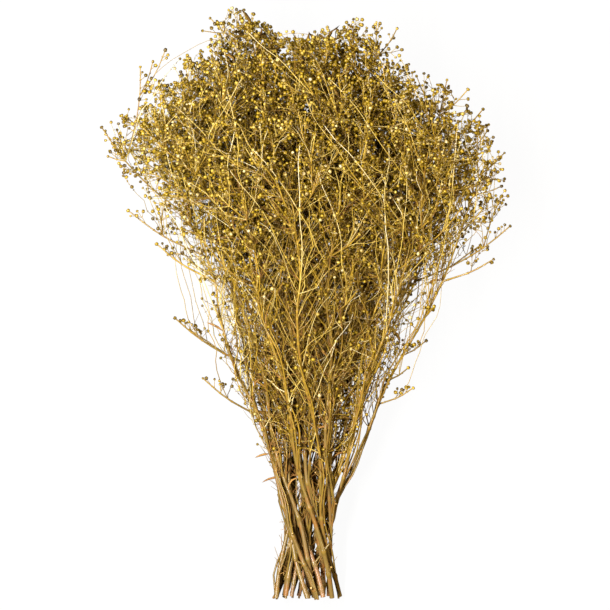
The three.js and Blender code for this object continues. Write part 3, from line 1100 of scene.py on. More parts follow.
def fill(end):
    found = best_joint(end)
    if not found:
        return
    at, direction, stem, length = found
    forks_before = len(stem["forks"])
    bow = along_from(along_from(at, way(at, end), 0.5), direction, FILL_BOW * length)
    points = bowed(at, bow, end, FILL_STEPS)
    radii = tapered(mix(*FILL_RADIUS, length / FILL_LENGTH[1]), WIRE_RADIUS[1], FILL_STEPS)
    stem["wires"].append({"points": points, "radii": radii})
    add_capsule(stem, end, unit(way(points[-2], end)))
    grow_pairs(stem, points, length * BRANCH_BEARING, KEEP_FILL)
    note_joints(stem, forks_before)


for n in range(FILL_TRIES):
    x, y, z = scattered(n, FILL_Y, (0.2, 0.7, 0.3), LEAST_Z)
    edge = room([x, y, z]) / mix(LOW_EDGE[0], 1, within(0, (y - FILL_Y[0]) / LOW_EDGE[1], 1))
    below_top = within(0, (top_at(x) - y) / TOP_FADE, 1)
    thinned = min(1, EDGE_FADE[0] * (EDGE_FADE[1] - edge)) * mix(0.75, 1, below_top)
    if edge < 1 and below_top > 0.1 and not is_full([x, y, z], FILL_SHARE * thinned):
        fill([x, y, z])
print(grown_so_far())

# %% [markdown]
# ## All joints at once
# The last twigs come from the joints of the axes and first branches, wherever in the crown they end. Some
# 700 joints times thousands of places would be slow in loops, so the joints stand in one array, and all
# are priced for a place in one go.

# %% Prices at all joints
long_joints = [(joint, stem) for stem in stems for joint in stem["joints"]]
joint_at = np.array([joint[0] for joint, _ in long_joints])
joint_way = np.array([joint[1] for joint, _ in long_joints])
joint_used = np.zeros(len(long_joints))


def joints_towards(end):
    """For all joints: the way to a place, its length, and its angle with the rod at the joint."""
    away = np.array(end) - joint_at
    length = np.linalg.norm(away, axis=1)
    return away, length, np.arccos(np.clip((away * joint_way).sum(axis=1) / length, -1, 1))


def take_cheapest(cost):
    """The joint with the lowest cost, or none if none can be had. A joint in use gets dearer."""
    chosen = int(np.argmin(cost))
    if cost[chosen] == math.inf:
        return None
    joint_used[chosen] += 1
    return chosen


print("joints to choose from:", len(long_joints))

# %% [markdown]
# ### Long twigs
# Through the crown run long thin twigs that sway a little and pass several forks without branching. Such
# a twig costs more the further its slant is off, the longer it is, and the more of them the joint bears.

# %% Long twigs through the crown
LONG_TRIES = 3900
LONG_Y = (-40, 290)
LONG_REACH = (50, 190)
LONG_ANGLE = (0.55, 0.3)  # radians between such a twig and the rod that it grows from, and the spread
LONG_RADIUS = (0.62, 0.26)
LONG_STEP = 17
LONG_SWAY = 7
LONG_BEARING = 26
LONG_ROOM = 0.93
OUTER_ROOM = 0.78
INNER_SKIPPED = 0.3  # this share of the places deep in the crown gets none
TOP_CLEAR = 8


def grow_long(end):
    _, length, angle = joints_towards(end)
    cost = ((angle - LONG_ANGLE[0]) / LONG_ANGLE[1]) ** 2 + length / LONG_REACH[1] + joint_used
    cost[(length < LONG_REACH[0]) | (length > LONG_REACH[1])] = math.inf
    chosen = take_cheapest(cost)
    if chosen is None:
        return
    (at, direction, radius, _), stem = long_joints[chosen]
    bow = along_from(along_from(at, way(at, end), 0.5), direction, FILL_BOW * length[chosen])
    count = max(2, round(length[chosen] / LONG_STEP))
    points = bowed(at, bow, end, count)
    for k, point in enumerate(points):
        sway = LONG_SWAY if 0 < k < count else 0
        points[k] = [c + (fine() - 0.5) * sway for c in point]
    root = min(mix(LONG_RADIUS[0] * 0.7, LONG_RADIUS[0], length[chosen] / LONG_REACH[1]), 0.7 * radius)
    stem["wires"].append({"points": points, "radii": tapered(root, LONG_RADIUS[1], count)})
    add_capsule(stem, end, unit(way(points[-2], end)))
    grow_pairs(stem, points, LONG_BEARING, KEEP_TWIG)


for n in range(LONG_TRIES):
    x, y, z = scattered(n, LONG_Y, (0.6, 0.1, 0.5), LEAST_Z)
    out = room([x, y, z])
    outer = out > OUTER_ROOM and z > axis_z(y)
    if out < LONG_ROOM and y < top_at(x) - TOP_CLEAR and (outer or fine() > INNER_SKIPPED):
        grow_long([x, y, z])
print(grown_so_far())

# %% [markdown]
# ### Stray twigs
# Joints near the bunch's upper surface have light from above, so they send out wiry twigs at a wide angle,
# across the run of the others. They break up what would else look combed. How deep a joint is buried
# under that surface is measured for all joints at once.

# %% Stray twigs
FRONT_ROOM = 0.97
STRAY_DEPTH = 26
STRAY_Y = (-160, 160)
STRAY_CHANCE = 0.9
STRAY_ANGLE = (0.8, 1.5)


def front_z(x, y):
    """The height of the bunch's upper surface at this place."""
    middle, half = outline_at(y)
    return axis_z(y) + FRONT_ROOM * DEPTH_SHARE * math.sqrt(max(half**2 - (x - middle) ** 2, 0))


joint_buried = np.array([front_z(x, y) - z for x, y, z in joint_at])
for (joint, stem), buried in zip(long_joints, joint_buried):
    if buried < STRAY_DEPTH and STRAY_Y[0] < joint[0][1] < STRAY_Y[1] and fine() < STRAY_CHANCE:
        grow_wire(stem, joint[0], joint[1], fine() * 2 * math.pi, joint[2], STRAY_ANGLE)
print("joints near the upper surface:", int((joint_buried < STRAY_DEPTH).sum()), grown_so_far())

# %% [markdown]
# ### Twigs that lie on top
# The last and strongest twigs lie on the upper surface of the bunch, where nothing shades them. They are
# the pale lines that the eye follows from the waist up into the crown, and their pale ages are partly
# painted light. Such a twig sets out from a joint that isn't buried deep, bends up to the surface, and
# stays on it.

# %% Front twigs
FRONT_TWIGS = 26
FRONT_X = (-150, 160)
FRONT_Y = (110, 275)
FLAT_SPACING = (1.3247, 1.7549)  # powers of the root of x^3 = x + 1 spread points evenly on a surface
FRONT_REACH = (60, 170)
FRONT_FROM = -60
FRONT_RISE = 0.55  # a front twig rises at least this share of its length
FRONT_ANGLE = (0.2, 0.85)
FRONT_ANGLE_SPREAD = 0.15
FRONT_STEP = 22
FRONT_SWAY = (5, 3)
FRONT_RADIUS = (0.66, 0.26)
FRONT_LIT_OLDEST = (0.3, 0.65)
FRONT_YOUNGER = 0.3
FRONT_BEARING = 70
DEPTH_PRICE = 12  # being buried this deep costs as much as one spread of the angle


def grow_front(end):
    away, length, angle = joints_towards(end)
    slant = ((angle - mix(*FRONT_ANGLE, fine())) / FRONT_ANGLE_SPREAD) ** 2
    cost = slant + joint_buried / DEPTH_PRICE + 2 * joint_used
    cost[(length < FRONT_REACH[0]) | (length > FRONT_REACH[1]) | (joint_at[:, 1] < FRONT_FROM)] = math.inf
    cost[away[:, 1] < FRONT_RISE * length] = math.inf
    chosen = take_cheapest(cost)
    if chosen is None:
        return
    (at, direction, radius, _), stem = long_joints[chosen]
    bow = along_from(along_from(at, way(at, end), 0.5), direction, FILL_BOW * length[chosen])
    count = max(3, round(length[chosen] / FRONT_STEP))
    points = bowed(at, bow, end, count)
    for k, (x, y, z) in enumerate(points):
        if 0 < k < count:
            x, y = x + (fine() - 0.5) * FRONT_SWAY[0], y + (fine() - 0.5) * FRONT_SWAY[1]
        up = math.sin(math.pi * (k / count)) ** 0.6
        points[k] = [x, y, max(z, mix(z, front_z(x, y), up))]
    root = min(mix(FRONT_RADIUS[0] * 0.6, FRONT_RADIUS[0], fine()), 0.8 * radius)
    oldest = mix(*FRONT_LIT_OLDEST, fine())
    stem["side_stems"].append({"points": points, "radii": tapered(root, FRONT_RADIUS[1], count),
                               "ages": (oldest, oldest + FRONT_YOUNGER)})
    add_capsule(stem, end, unit(way(points[-2], end)))
    grow_pairs(stem, points, FRONT_BEARING, KEEP_WIRE)


for n in range(FRONT_TWIGS):
    x, y = mix(*FRONT_X, (0.2 + n / FLAT_SPACING[0]) % 1), mix(*FRONT_Y, (0.6 + n / FLAT_SPACING[1]) % 1)
    if y < top_at(x) - TOP_CLEAR:
        grow_front([x, y, front_z(x, y)])
print(grown_so_far())

# %% [markdown]
# ## One function for every skin
# Rods, hair stalks, capsules and withered leaves are all round or flattened bodies along a line. They
# could be curves with a bevel or skin modifiers, but many thousands of them would be slow. Instead, lines
# with the same number of points are stacked in one array and all their rings are worked out at once.
# Each ring stands across its line. For that, two directions across are found from the line's own course.

# %% Rings across many lines
def frames_along(points):
    """Two directions across each line, at each of its points."""
    steps = np.diff(points, axis=1)
    ahead = np.concatenate([steps[:, :1], steps[:, :-1] + steps[:, 1:], steps[:, -1:]], axis=1)
    ahead /= np.maximum(np.linalg.norm(ahead, axis=2, keepdims=True), 1e-9)
    main = np.abs(points[:, -1] - points[:, 0])
    reference = np.eye(3)[np.argmin(main, axis=1)][:, None, :]
    first = np.cross(ahead, np.broadcast_to(reference, ahead.shape))
    first /= np.maximum(np.linalg.norm(first, axis=2, keepdims=True), 1e-9)
    return first, np.cross(ahead, first)


def rings_across(points, radii, sides, flat):
    """Corners of rings around (lines, rings, 3) points."""
    first, second = frames_along(points)
    turn = np.arange(sides) / sides * 2 * np.pi
    across = first[:, :, None] * np.cos(turn)[:, None] + second[:, :, None] * np.sin(turn)[:, None] * flat
    return points[:, :, None] + across * radii[:, :, None, None]


print("rings of one line:", rings_across(np.array([[[0, 0, 0], [0, 9, 0.0]]]), np.ones((1, 2)), 6, 1).shape)

# %% [markdown]
# ### Faces and their map
# Between two rings lies a band of four-cornered faces. A pole closes an end with a fan of triangles round
# one point. Every face also gets its place on a map, which holds what the finish needs: one direction
# runs along the plant, the other holds its age and goes a little way around the rod. A mirrored map goes
# around and back again, so that no seam shows where it closes.

# %% Skins
def skin(points, radii, u, v, sides, du=0.0, dv=0.0, flat=1.0, poles=(False, False), mirrored=False):
    """Corners, faces and map of the rings around many lines. du and dv go around the rings."""
    points, radii = np.asarray(points, float), np.asarray(radii, float)
    u, v = np.broadcast_to(u, radii.shape), np.broadcast_to(v, radii.shape)
    lines, rings = radii.shape
    number = np.arange(lines * rings * sides).reshape(lines, rings, sides)
    round_share = np.arange(sides + 1) / sides
    if mirrored:
        round_share = 1 - np.abs(2 * round_share - 1)
    s = np.arange(sides)
    n = (s + 1) % sides
    a, b = round_share[None, :-1], round_share[None, 1:]
    half = (a + b) / 2
    faces, places = [], []

    def place(ring, share):
        return np.stack([u[:, ring, None] + du * share, v[:, ring, None] + dv * share], axis=-1)

    for k in range(int(poles[0]), rings - 1 - int(poles[1])):
        here, onward = number[:, k], number[:, k + 1]
        faces.append(np.stack([here[:, s], here[:, n], onward[:, n], onward[:, s]], -1))
        places.append(np.stack([place(k, a), place(k, b), place(k + 1, b), place(k + 1, a)], axis=2))
    if poles[0]:
        tip = np.broadcast_to(number[:, 0, :1], (lines, sides))
        faces.append(np.stack([tip, number[:, 1, n], number[:, 1, s]], -1))
        places.append(np.stack([place(0, half), place(1, b), place(1, a)], axis=2))
    if poles[1]:
        tip = np.broadcast_to(number[:, -1, :1], (lines, sides))
        faces.append(np.stack([number[:, -2, s], number[:, -2, n], tip], -1))
        places.append(np.stack([place(rings - 2, a), place(rings - 2, b), place(rings - 1, half)], axis=2))
    flat_faces = [face.reshape(-1, face.shape[-1]) for face in faces]
    flat_places = [place_row.reshape(-1, place_row.shape[-2], 2) for place_row in places]
    return rings_across(points, radii, sides, flat).reshape(-1, 3), flat_faces, flat_places


tried = skin([[[0, 0, 0], [0, 5, 0], [0, 9, 0]]], [[0, 1, 1]], 0, 0, 6, poles=(True, False))
print("a skin with one pole:", [face.shape for face in tried[1]])

# %% [markdown]
# ### One piece of the bunch
# Blender's mesh takes whole arrays at once, which is much faster than adding faces one by one.
# Corners that no face uses are left out. The piece then rides on the root body and is given the name of
# the material slot that it stands for.

# %% From skins to one piece
PLANT_MAP = "OFBake"  # the finishes read the map of this name


def joined(skins):
    """One array of corners, of faces' sizes, of faces' corners and of places on the map."""
    corners, sizes, indices, uv, total = [], [], [], [], 0
    for own_corners, faces, places in skins:
        for face, spot in zip(faces, places):
            sizes.append(np.full(len(face), face.shape[1]))
            indices.append((face + total).ravel())
            uv.append(spot.reshape(-1, 2))
        corners.append(own_corners)
        total += len(own_corners)
    used, indices = np.unique(np.concatenate(indices), return_inverse=True)
    corners = np.concatenate(corners)[used] * MM
    corners[:, 2] = np.maximum(corners[:, 2], 0)
    return corners, np.concatenate(sizes), indices, np.concatenate(uv)


def piece_from(name, skins, material):
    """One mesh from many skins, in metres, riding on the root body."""
    corners, sizes, indices, uv = joined(skins)
    mesh = bpy.data.meshes.new(name)
    mesh.vertices.add(len(corners))
    mesh.vertices.foreach_set("co", corners.ravel().astype(np.float32))
    mesh.loops.add(len(indices))
    mesh.loops.foreach_set("vertex_index", indices.ravel().astype(np.int32))
    mesh.polygons.add(len(sizes))
    starts = np.concatenate([[0], np.cumsum(sizes)[:-1]])
    mesh.polygons.foreach_set("loop_start", starts.astype(np.int32))
    layer = mesh.uv_layers.new(name=PLANT_MAP)
    layer.data.foreach_set("uv", np.clip(uv, 0.001, 0.999).ravel().astype(np.float32))
    mesh.update(calc_edges=True)
    mesh.shade_smooth()
    mesh.materials.append(material)
    piece = bpy.data.objects.new(name, mesh)
    bpy.context.scene.collection.objects.link(piece)
    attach(piece, "root")
    return piece, int((sizes - 2).sum())


print("corners in use:", len(joined([tried])[0]), "of", len(tried[0]))

# %% [markdown]
# ### How far a place has bleached, with painted light and shade
# Sun bleaches the outside of a drying bunch, while its core keeps darker, browner colours. The same share
# also paints light and shade: the core, where shade falls, gets the darkest colours as painted shade, and
# the outside and the crown's top get the palest, partly as painted light. The function below gives that
# share for a place, and every skin takes its tint or age from it. A spray that stands out alone has light
# on all sides and a bright surface behind it, and looks darker than the crown, so it is given less: that
# is painted shade too.

# %% Bleaching and painted light
BLEACH_AND_LIGHT_FROM, BLEACH_AND_LIGHT_WIDTH = 0.35, 0.5
TOP_BLEACHED_AND_LIT = 90
LONE_PAINTED_SHADE = 0.45
LONE_SHADE_FROM, LONE_SHADE_WIDTH = 0.96, 0.08


def bleach_and_painted_light(point):
    """From 0 deep in the bunch (painted shade) to 1 outside and at the top (bleach, partly painted light),
    less where a spray stands alone (painted shade).
    """
    out = room(point)
    edge = within(0, (out - BLEACH_AND_LIGHT_FROM) / BLEACH_AND_LIGHT_WIDTH, 1)
    under_top = within(0, 1 - (top_at(point[0]) - point[1]) / TOP_BLEACHED_AND_LIT, 1)
    return max(edge * edge, under_top) * (1 - LONE_PAINTED_SHADE * within(0, (out - LONE_SHADE_FROM) / LONE_SHADE_WIDTH, 1))


print("bleached, from the middle outwards:",
      [round(bleach_and_painted_light([outline_at(100)[0], 100, axis_z(100) + up]), 2) for up in (0, 40, 70, 95)])

# %% [markdown]
# ## Rods
# The skeleton's axes have a point every 25 mm. Straight steps between them would show as kinks, so the
# rods follow a smooth curve that passes through every point of the skeleton, each stretch of it drawn from
# the four nearest points.

# %% A smooth curve through the points
def on_curve(points, i, share):
    a, b = points[max(i - 1, 0)], points[i]
    c, d = points[i + 1], points[min(i + 2, len(points) - 1)]
    t = share
    weights = (
        0.5 * (-t + 2 * t * t - t**3),
        0.5 * (2 - 5 * t * t + 3 * t**3),
        0.5 * (t + 4 * t * t - 3 * t**3),
        0.5 * (-t * t + t**3),
    )
    return [sum(w * p[axis] for w, p in zip(weights, (a, b, c, d))) for axis in range(3)]


def lengths_to(points):
    return np.concatenate([[0], np.cumsum(np.linalg.norm(np.diff(points, axis=0), axis=1))])


print("halfway on a bend:", [round(c, 2) for c in on_curve([[0, 0, 0], [0, 9, 0], [9, 18, 0]], 0, 0.5)])

# %% [markdown]
# ### Where the knots sit
# Like a carnation, its cousin, gypsophila has thickened joints, wherever something grows or once grew.
# Everything that leaves a rod starts at a point on it, so the knots are found by measure: each start is
# dropped on the line, and counts where it lies on it. Knots closer than 7 mm would run into one.

# %% Knots
KNOT_TOUCH = 0.4
FIRST_KNOT = 2
KNOTS_APART = 7


def knots_on(points, starts):
    """Distances along a line at which other growth leaves it."""
    points = np.array(points)
    steps = np.diff(points, axis=0)
    lengths = np.linalg.norm(steps, axis=1)
    away = starts[:, None] - points[None, :-1]
    share = np.clip((away * steps).sum(-1) / lengths**2, 0, 1)
    near = np.linalg.norm(away - share[..., None] * steps, axis=-1) < KNOT_TOUCH
    found = (lengths_to(points)[:-1] + share * lengths)[near]
    kept = []
    for distance in sorted(found):
        if distance > FIRST_KNOT and (not kept or distance - kept[-1] > KNOTS_APART):
            kept.append(distance)
    return kept


print("knots:", knots_on([[0, 0, 0], [0, 30, 0]], np.array([[0, 5, 0], [0, 8, 0], [0, 20, 0], [3, 25, 0]])))

# %% [markdown]
# ### Rods with swollen joints
# On the dried stem the joints are the palest and hardest places. A knot is a row of rings whose widths
# follow the swelling: it rises gently from below and ends more sharply above. Between knots come plain
# rings, a little slimmer. Distances in the row are in radii of the rod, so a thin rod gets a small knot.

# %% Rings of one rod
AXIS_KNOT = ((-2.2, 1.0), (-0.9, 1.16), (-0.1, 1.32), (0.6, 1.2), (1.8, 1.0))
BRANCH_KNOT = ((-1.6, 1.0), (0, 1.35), (1.6, 1.0))
FULL_KNOT = 0.3  # a swelling by this share counts as a full knot for its colour
KNOT_PALER = 0.1
BETWEEN_KNOTS = 0.97
LONGEST_RING = 14
SHORTEST_RING = 0.25
MAP_LENGTH = 1000  # this many millimetres of rod fill the width of the map
MAP_AGE = 0.9  # ages from 0 to 1 take this share of the map's height
MAP_ROUND = 0.045  # and half way round a rod takes this share


def rod(line, knots, knot_shape, ages, offset, begin=0, longest=LONGEST_RING):
    """Points, radii and map of a rod with knots, ready for skin()."""
    points, radii = line["points"], line["radii"]
    to = lengths_to(points)
    rings = {begin: (1, 0), to[-1]: (1, 0)}
    for knot in knots:
        radius = np.interp(knot, to, radii)
        for out, swelling in knot_shape:
            if begin < knot + out * radius < to[-1]:
                rings[knot + out * radius] = (swelling, (swelling - 1) / FULL_KNOT)
    for start, end in zip(sorted(rings), sorted(rings)[1:]):
        count = int((end - start) / longest)
        for k in range(count):
            rings[start + (end - start) * (k + 1) / (count + 1)] = (BETWEEN_KNOTS, 0)
    places, widths, along, paler = [], [], [], []
    for distance in sorted(rings):
        if along and distance - along[-1] < SHORTEST_RING:
            continue
        i = min(int(np.searchsorted(to, distance, "right")) - 1, len(points) - 2)
        places.append(on_curve(points, i, (distance - to[i]) / (to[i + 1] - to[i])))
        widths.append(np.interp(distance, to, radii) * rings[distance][0])
        along.append(distance)
        paler.append(KNOT_PALER * rings[distance][1])
    along = np.array(along)
    age = mix(ages[0], ages[1], along / to[-1]) + np.array(paler)
    return places, widths, offset + along / MAP_LENGTH, MAP_AGE * age


def stacked(rows):
    """Rows of lines with the same number of rings, each kind stacked for one skin."""
    by_rings = {}
    for row in rows:
        by_rings.setdefault(len(row[0]), []).append(row)
    return [[np.array(part) for part in zip(*group)] for group in by_rings.values()]


print("rings of a rod with a knot:", len(rod({"points": [[0, 0, 0], [0, 30, 0]], "radii": [2, 1]}, [15],
                                            AXIS_KNOT, (0, 1), 0)[0]))

# %% [markdown]
# ### Cut ends, low knots and stubs
# The stems were cut with shears, so each ends in a flat, slightly domed face with pale pith in a darker
# rim. Low down the joints bear no branches any more. Some keep the stub of a side shoot that broke off,
# which has such an end of its own.

# %% Cut ends and stubs
CUT_DOME = 0.35
PITH_STRIP = (0.985, 0.955)  # the strip of the map for the cut: from its middle to its rim
FIRST_KNOTS = (22, 52)  # knots below the first forks come this far apart
LOWEST_KNOT = (8, 48)
STUB = (3, 9)
STUB_CHANCE = 0.3


def cut_end(at, onward, radius):
    """A slightly domed cut face at the end of a rod."""
    down = unit(way(onward, at))
    line = [[along_from(at, down, CUT_DOME), at]]
    return skin(line, [[0, radius]], 0.5, [PITH_STRIP], 10, du=0.2, poles=(True, False))


def stub(at, direction, turn, radius):
    """What is left of a side shoot that broke off at a low knot."""
    side = sideways(direction, turn)
    outward = unit(along_from(direction, side, mix(0.8, 1.6, fine())))
    end = along_from(at, outward, radius + mix(*STUB, fine()))
    end[2] = max(end[2], 1)
    width = radius * mix(0.4, 0.55, fine())
    body = skin([[at, end]], [[width * 1.2, width]], [[0.1, 0.11]], [[0.1, 0.14]], 6, dv=MAP_ROUND)
    return [body, cut_end(end, at, width)]


def low_knots(axis):
    to = lengths_to(axis["points"])
    first_fork = (FIRST_FORK_Y - CUT_Y) / AXIS_STEP * to[-1] / (len(to) - 1)
    knots, distance = [], mix(*LOWEST_KNOT, fine())
    while distance < first_fork:
        knots.append(distance)
        distance += mix(*FIRST_KNOTS, fine())
    return knots


def stub_skins(points, radii, low):
    to, skins = lengths_to(points), []
    for knot in low:
        i = int(np.searchsorted(to, knot, "right")) - 1
        direction = unit(way(points[i], points[i + 1]))
        turn = fine() * math.pi
        for side in (0, math.pi):
            if fine() < STUB_CHANCE:
                at = on_curve(points, i, (knot - to[i]) / (to[i + 1] - to[i]))
                skins += stub(at, direction, turn + side, radii[i])
    return skins


print("low knots come", FIRST_KNOTS[0], "to", FIRST_KNOTS[1], "mm apart")

# %% [markdown]
# ### The main rod of a stem
# Bark shrinks in drying, most of all in young wood, so the rods are drawn a little slimmer than the
# solids. Each stem has its own drift of colour, and is cut a little higher or lower than its neighbours.
# Ten sides are enough for a rod of 5 mm with smooth shading.

# %% Main rods
AXIS_SLIM = (0.82, 0.8)
CUT_SPREAD = 7
DRIFT = (0.3, 0.2)
AXIS_AGES = 0.3


def axis_skins(stem, starts):
    drift = (fine() - DRIFT[0]) * DRIFT[1]
    points, radii = stem["axis"]["points"], stem["axis"]["radii"]
    low = low_knots(stem["axis"])
    high = [knot for knot in knots_on(points, starts) if not low or knot > low[-1] + 12]
    begin = fine() * CUT_SPREAD
    slim = [mix(*AXIS_SLIM, k / (len(radii) - 1)) * radius for k, radius in enumerate(radii)]
    line, ages = {"points": points, "radii": slim}, (drift, AXIS_AGES + drift)
    places, widths, u, v = rod(line, low + high, AXIS_KNOT, ages, fine() * 0.3, begin)
    body = skin([places], [widths], [u], [v], 10, dv=MAP_ROUND, mirrored=True)
    return [body, cut_end(places[0], places[1], widths[0])] + stub_skins(points, slim, low)


print("a main rod is", [round(2 * r * slim, 1) for r, slim in zip(AXIS_RADIUS, AXIS_SLIM)], "mm thick")

# %% [markdown]
# ### Side stems, branches and wiry twigs
# A rod's age runs from its root to its tip, because the newest growth dries to the palest straw. Deep in
# the bunch both ends are given dark ages, as painted shade. Outside, each rod draws its own ages, which are
# partly painted light. Branches get six sides and knots.
# Wiry twigs are a millimetre thick and get three sides: no eye counts them, and smooth shading rounds
# them.

# %% Skins of rods
BRANCH_SLIM = 0.7
LONE_SLIM = 1.1
BRANCH_AGES_AND_SHADE = ((0.1, 0.2), (0.1, 0.42), (0.3, 0.65))  # painted shade deep in the bunch, and at the root and tip outside, partly painted light
WIRE_AGES_AND_SHADE = ((0.08, 0.12), (0.2, 0.8), (0.3, 0.9))


def ages_of(points, dark, root, tip):
    return (mix(dark[0], mix(*root, fine()), bleach_and_painted_light(points[0])),
            mix(dark[1], mix(*tip, fine()), bleach_and_painted_light(points[-1])))


def side_stem_skins(stem, starts):
    skins = []
    for line in stem["side_stems"]:
        r, w, u, v = rod(line, knots_on(line["points"], starts), BRANCH_KNOT, line["ages"], fine() * 0.5)
        skins.append(skin([r], [w], [u], [v], 6, dv=MAP_ROUND, mirrored=True))
    return skins


def branch_skins(stem, starts):
    rods = []
    for branch in stem["branches"]:
        points = branch["points"]
        ages = ages_of(points, *BRANCH_AGES_AND_SHADE)
        slim = mix(BRANCH_SLIM, LONE_SLIM, within(0, (room(points[-1]) - 0.9) / 0.1, 1))
        line = {"points": points, "radii": [slim * radius for radius in branch["radii"]]}
        rods.append(rod(line, knots_on(points, starts), BRANCH_KNOT, ages, fine() * 0.6, longest=20))
    return [skin(r, w, u, v, 6, dv=MAP_ROUND, mirrored=True) for r, w, u, v in stacked(rods)]


def wire_skins(stem):
    rods = []
    for wire in stem["wires"]:
        ages = ages_of(wire["points"], *WIRE_AGES_AND_SHADE)
        rods.append(rod(wire, [], (), ages, fine() * 0.8, longest=WIRE_STEP))
    return [skin(r, w, u, v, 3, dv=MAP_ROUND) for r, w, u, v in stacked(rods)]


print("branches are drawn at", BRANCH_SLIM, "of their solids' width, lone ones at", LONE_SLIM)

# %% [markdown]
# ### Twigs and hair stalks
# The finest twigs have two or three points and no joints. All of one kind in a stem make a single skin.

# %% The wood of one stem
TWIG_AGES = (("twigs", 0.2), ("stalks", 0.25))
TWIG_AGE_SPREAD = 0.5
TWIG_PAINTED_SHADE = 0.3
TWIG_MAP_STEP = 0.012


def twig_skins(stem):
    skins = []
    for kind, oldest in TWIG_AGES:
        lines = np.array([line for line, _ in stem[kind]])
        widths = np.array([width for _, width in stem[kind]])
        rings = np.arange(lines.shape[1]) * TWIG_MAP_STEP
        u = np.array([fine() * 0.9 for _ in lines])[:, None] + rings
        # Deep in the bunch a twig keeps darker ages as painted shade; outside it gets the palest, partly
        # painted light.
        shares = [mix(TWIG_PAINTED_SHADE, 1, bleach_and_painted_light(line[-1])) for line, _ in stem[kind]]
        ages = np.array([share * (oldest + fine() * TWIG_AGE_SPREAD) for share in shares])
        v = MAP_AGE * (ages[:, None] + rings)
        skins.append(skin(lines, widths, u, v, 3, dv=MAP_ROUND))
    return skins


def wood_skins(stem):
    starts = [line["points"][0] for kind in ("branches", "wires") for line in stem[kind]]
    starts = np.array(starts + [at for at, _, _ in stem["forks"]])
    rods = axis_skins(stem, starts) + side_stem_skins(stem, starts) + branch_skins(stem, starts)
    return rods + wire_skins(stem) + twig_skins(stem)


print("stem 1 has", len(stems[0]["twigs"]), "twigs and", len(stems[0]["stalks"]), "hair stalks")

# %% [markdown]
# ## Seed capsules
# Each little flower withers around its seed capsule and leaves a round bell: a pointed foot on the stalk,
# a full belly, a shoulder that draws in, and a dimpled top where the petals were. A sphere for each would
# cost hundreds of faces. Two rings on a line one diameter long make the bell, with a pole at the foot and
# another on top, and four or six sides with smooth shading do for a capsule of 4 mm. The map's width
# picks each capsule's own tint, and its height runs from foot to dimple.

# %% Capsules as one skin for each stem
CAPSULE_LINE = (-1.0, -0.3, 0.62, 0.6)  # in radii from the middle: foot, belly, shoulder, dimple
CAPSULE_WIDTH = (0.0, 0.98, 0.7, 0.0)
CAPSULE_HEIGHT = (0.02, 0.4, 0.85, 0.98)
CAPSULE_TALL = (0.92, 1.22)
CAPSULE_TINT = (0.02, 0.92)
SHADED_TINT_SHARE = 0.28  # deep in the bunch, where shade falls, the tints keep to this darker share of the range: painted shade
CAPSULE_AROUND = 0.03
CAPSULE_SIDES = 6
DEEP_ROOM = 0.72  # capsules further in than this can hardly be seen and get fewer sides
DEEP_SIDES = 4


def capsule_skins(stem):
    centres = np.array([centre for centre, _, _ in stem["capsules"]])
    directions = np.array([direction for _, direction, _ in stem["capsules"]])
    radii = np.array([radius for _, _, radius in stem["capsules"]])
    tall = np.array([mix(*CAPSULE_TALL, fine()) for _ in radii])
    # Capsules deep in the bunch keep dark tints as painted shade, and those outside reach the palest,
    # partly painted light.
    shares = [mix(SHADED_TINT_SHARE, 1, bleach_and_painted_light(centre)) for centre in centres]
    tint = np.array([CAPSULE_TINT[0] + CAPSULE_TINT[1] * fine() * share for share in shares])
    along = np.array(CAPSULE_LINE)[None, :, None] * (radii * tall)[:, None, None]
    line = centres[:, None] + directions[:, None] * along
    widths = radii[:, None] * np.array(CAPSULE_WIDTH)
    height = np.broadcast_to(CAPSULE_HEIGHT, widths.shape)
    skins = []
    deep = np.array([room(centre) < DEEP_ROOM for centre in centres])
    for chosen, sides in ((deep, DEEP_SIDES), (~deep, CAPSULE_SIDES)):
        if chosen.any():
            part = (line[chosen], widths[chosen], tint[chosen, None], height[chosen])
            skins.append(skin(*part, sides, du=CAPSULE_AROUND, poles=(True, True)))
    return skins


print("capsules of stem 1:", len(stems[0]["capsules"]))

# %% [markdown]
# ## Scales, chaff and withered leaves
# Under each fork sit two dry scales. They are slim spindles with a pole at each end and a single ring.
# Those deep in the bunch can't be seen and are left out. What can be seen there is chaff: broken flakes
# and petals that the thicket has caught, and that make the gaps between the rods look deep and full. Its
# dark flakes, put only deep in the bunch, are partly painted shade in those gaps.

# %% Scales and chaff
SCALE = (1.6, 3.2)
SCALE_WIDTH = 0.55
SCALE_PAIRS = 0.35
SCALE_FROM = 0.15  # forks with less bleach and painted light than this lie too deep to show their scales
SCALE_TINT = (0.02, 0.4)
# Chaff goes only deep in the bunch and takes the darkest leaf tints: partly painted shade.
CHAFF_SHADED_ROOM = 0.62
CHAFF_Y = -120
CHAFF_SHARE = 0.9
CHAFF_STEP = (5, 9)
CHAFF_STEPS = 3
CHAFF_WIDTH = (0, 2.3, 2.0, 0)
CHAFF_SHADE_TINT = (0.02, 0.3)


def tinted(draws, darkest, spread):
    return darkest + spread * np.array(draws)[:, None]


def scale_skins(stem):
    lines, tints = [], []
    for at, direction, turn in stem["forks"]:
        if bleach_and_painted_light(at) < SCALE_FROM:
            continue
        for side in (0, math.pi) if fine() < SCALE_PAIRS else (0,):
            length = mix(*SCALE, fine())
            outward = unit(along_from([c * 1.25 for c in direction], sideways(direction, turn + side), 1))
            lines.append([at, along_from(at, outward, length * 0.4), along_from(at, outward, length)])
            tints.append(fine())
    widths = np.broadcast_to([0, SCALE_WIDTH, 0], (len(lines), 3))
    tint = tinted(tints, *SCALE_TINT)
    return [skin(lines, widths, tint, [[0.02, 0.4, 0.98]], 3, du=0.05, flat=0.6, poles=(True, True))]


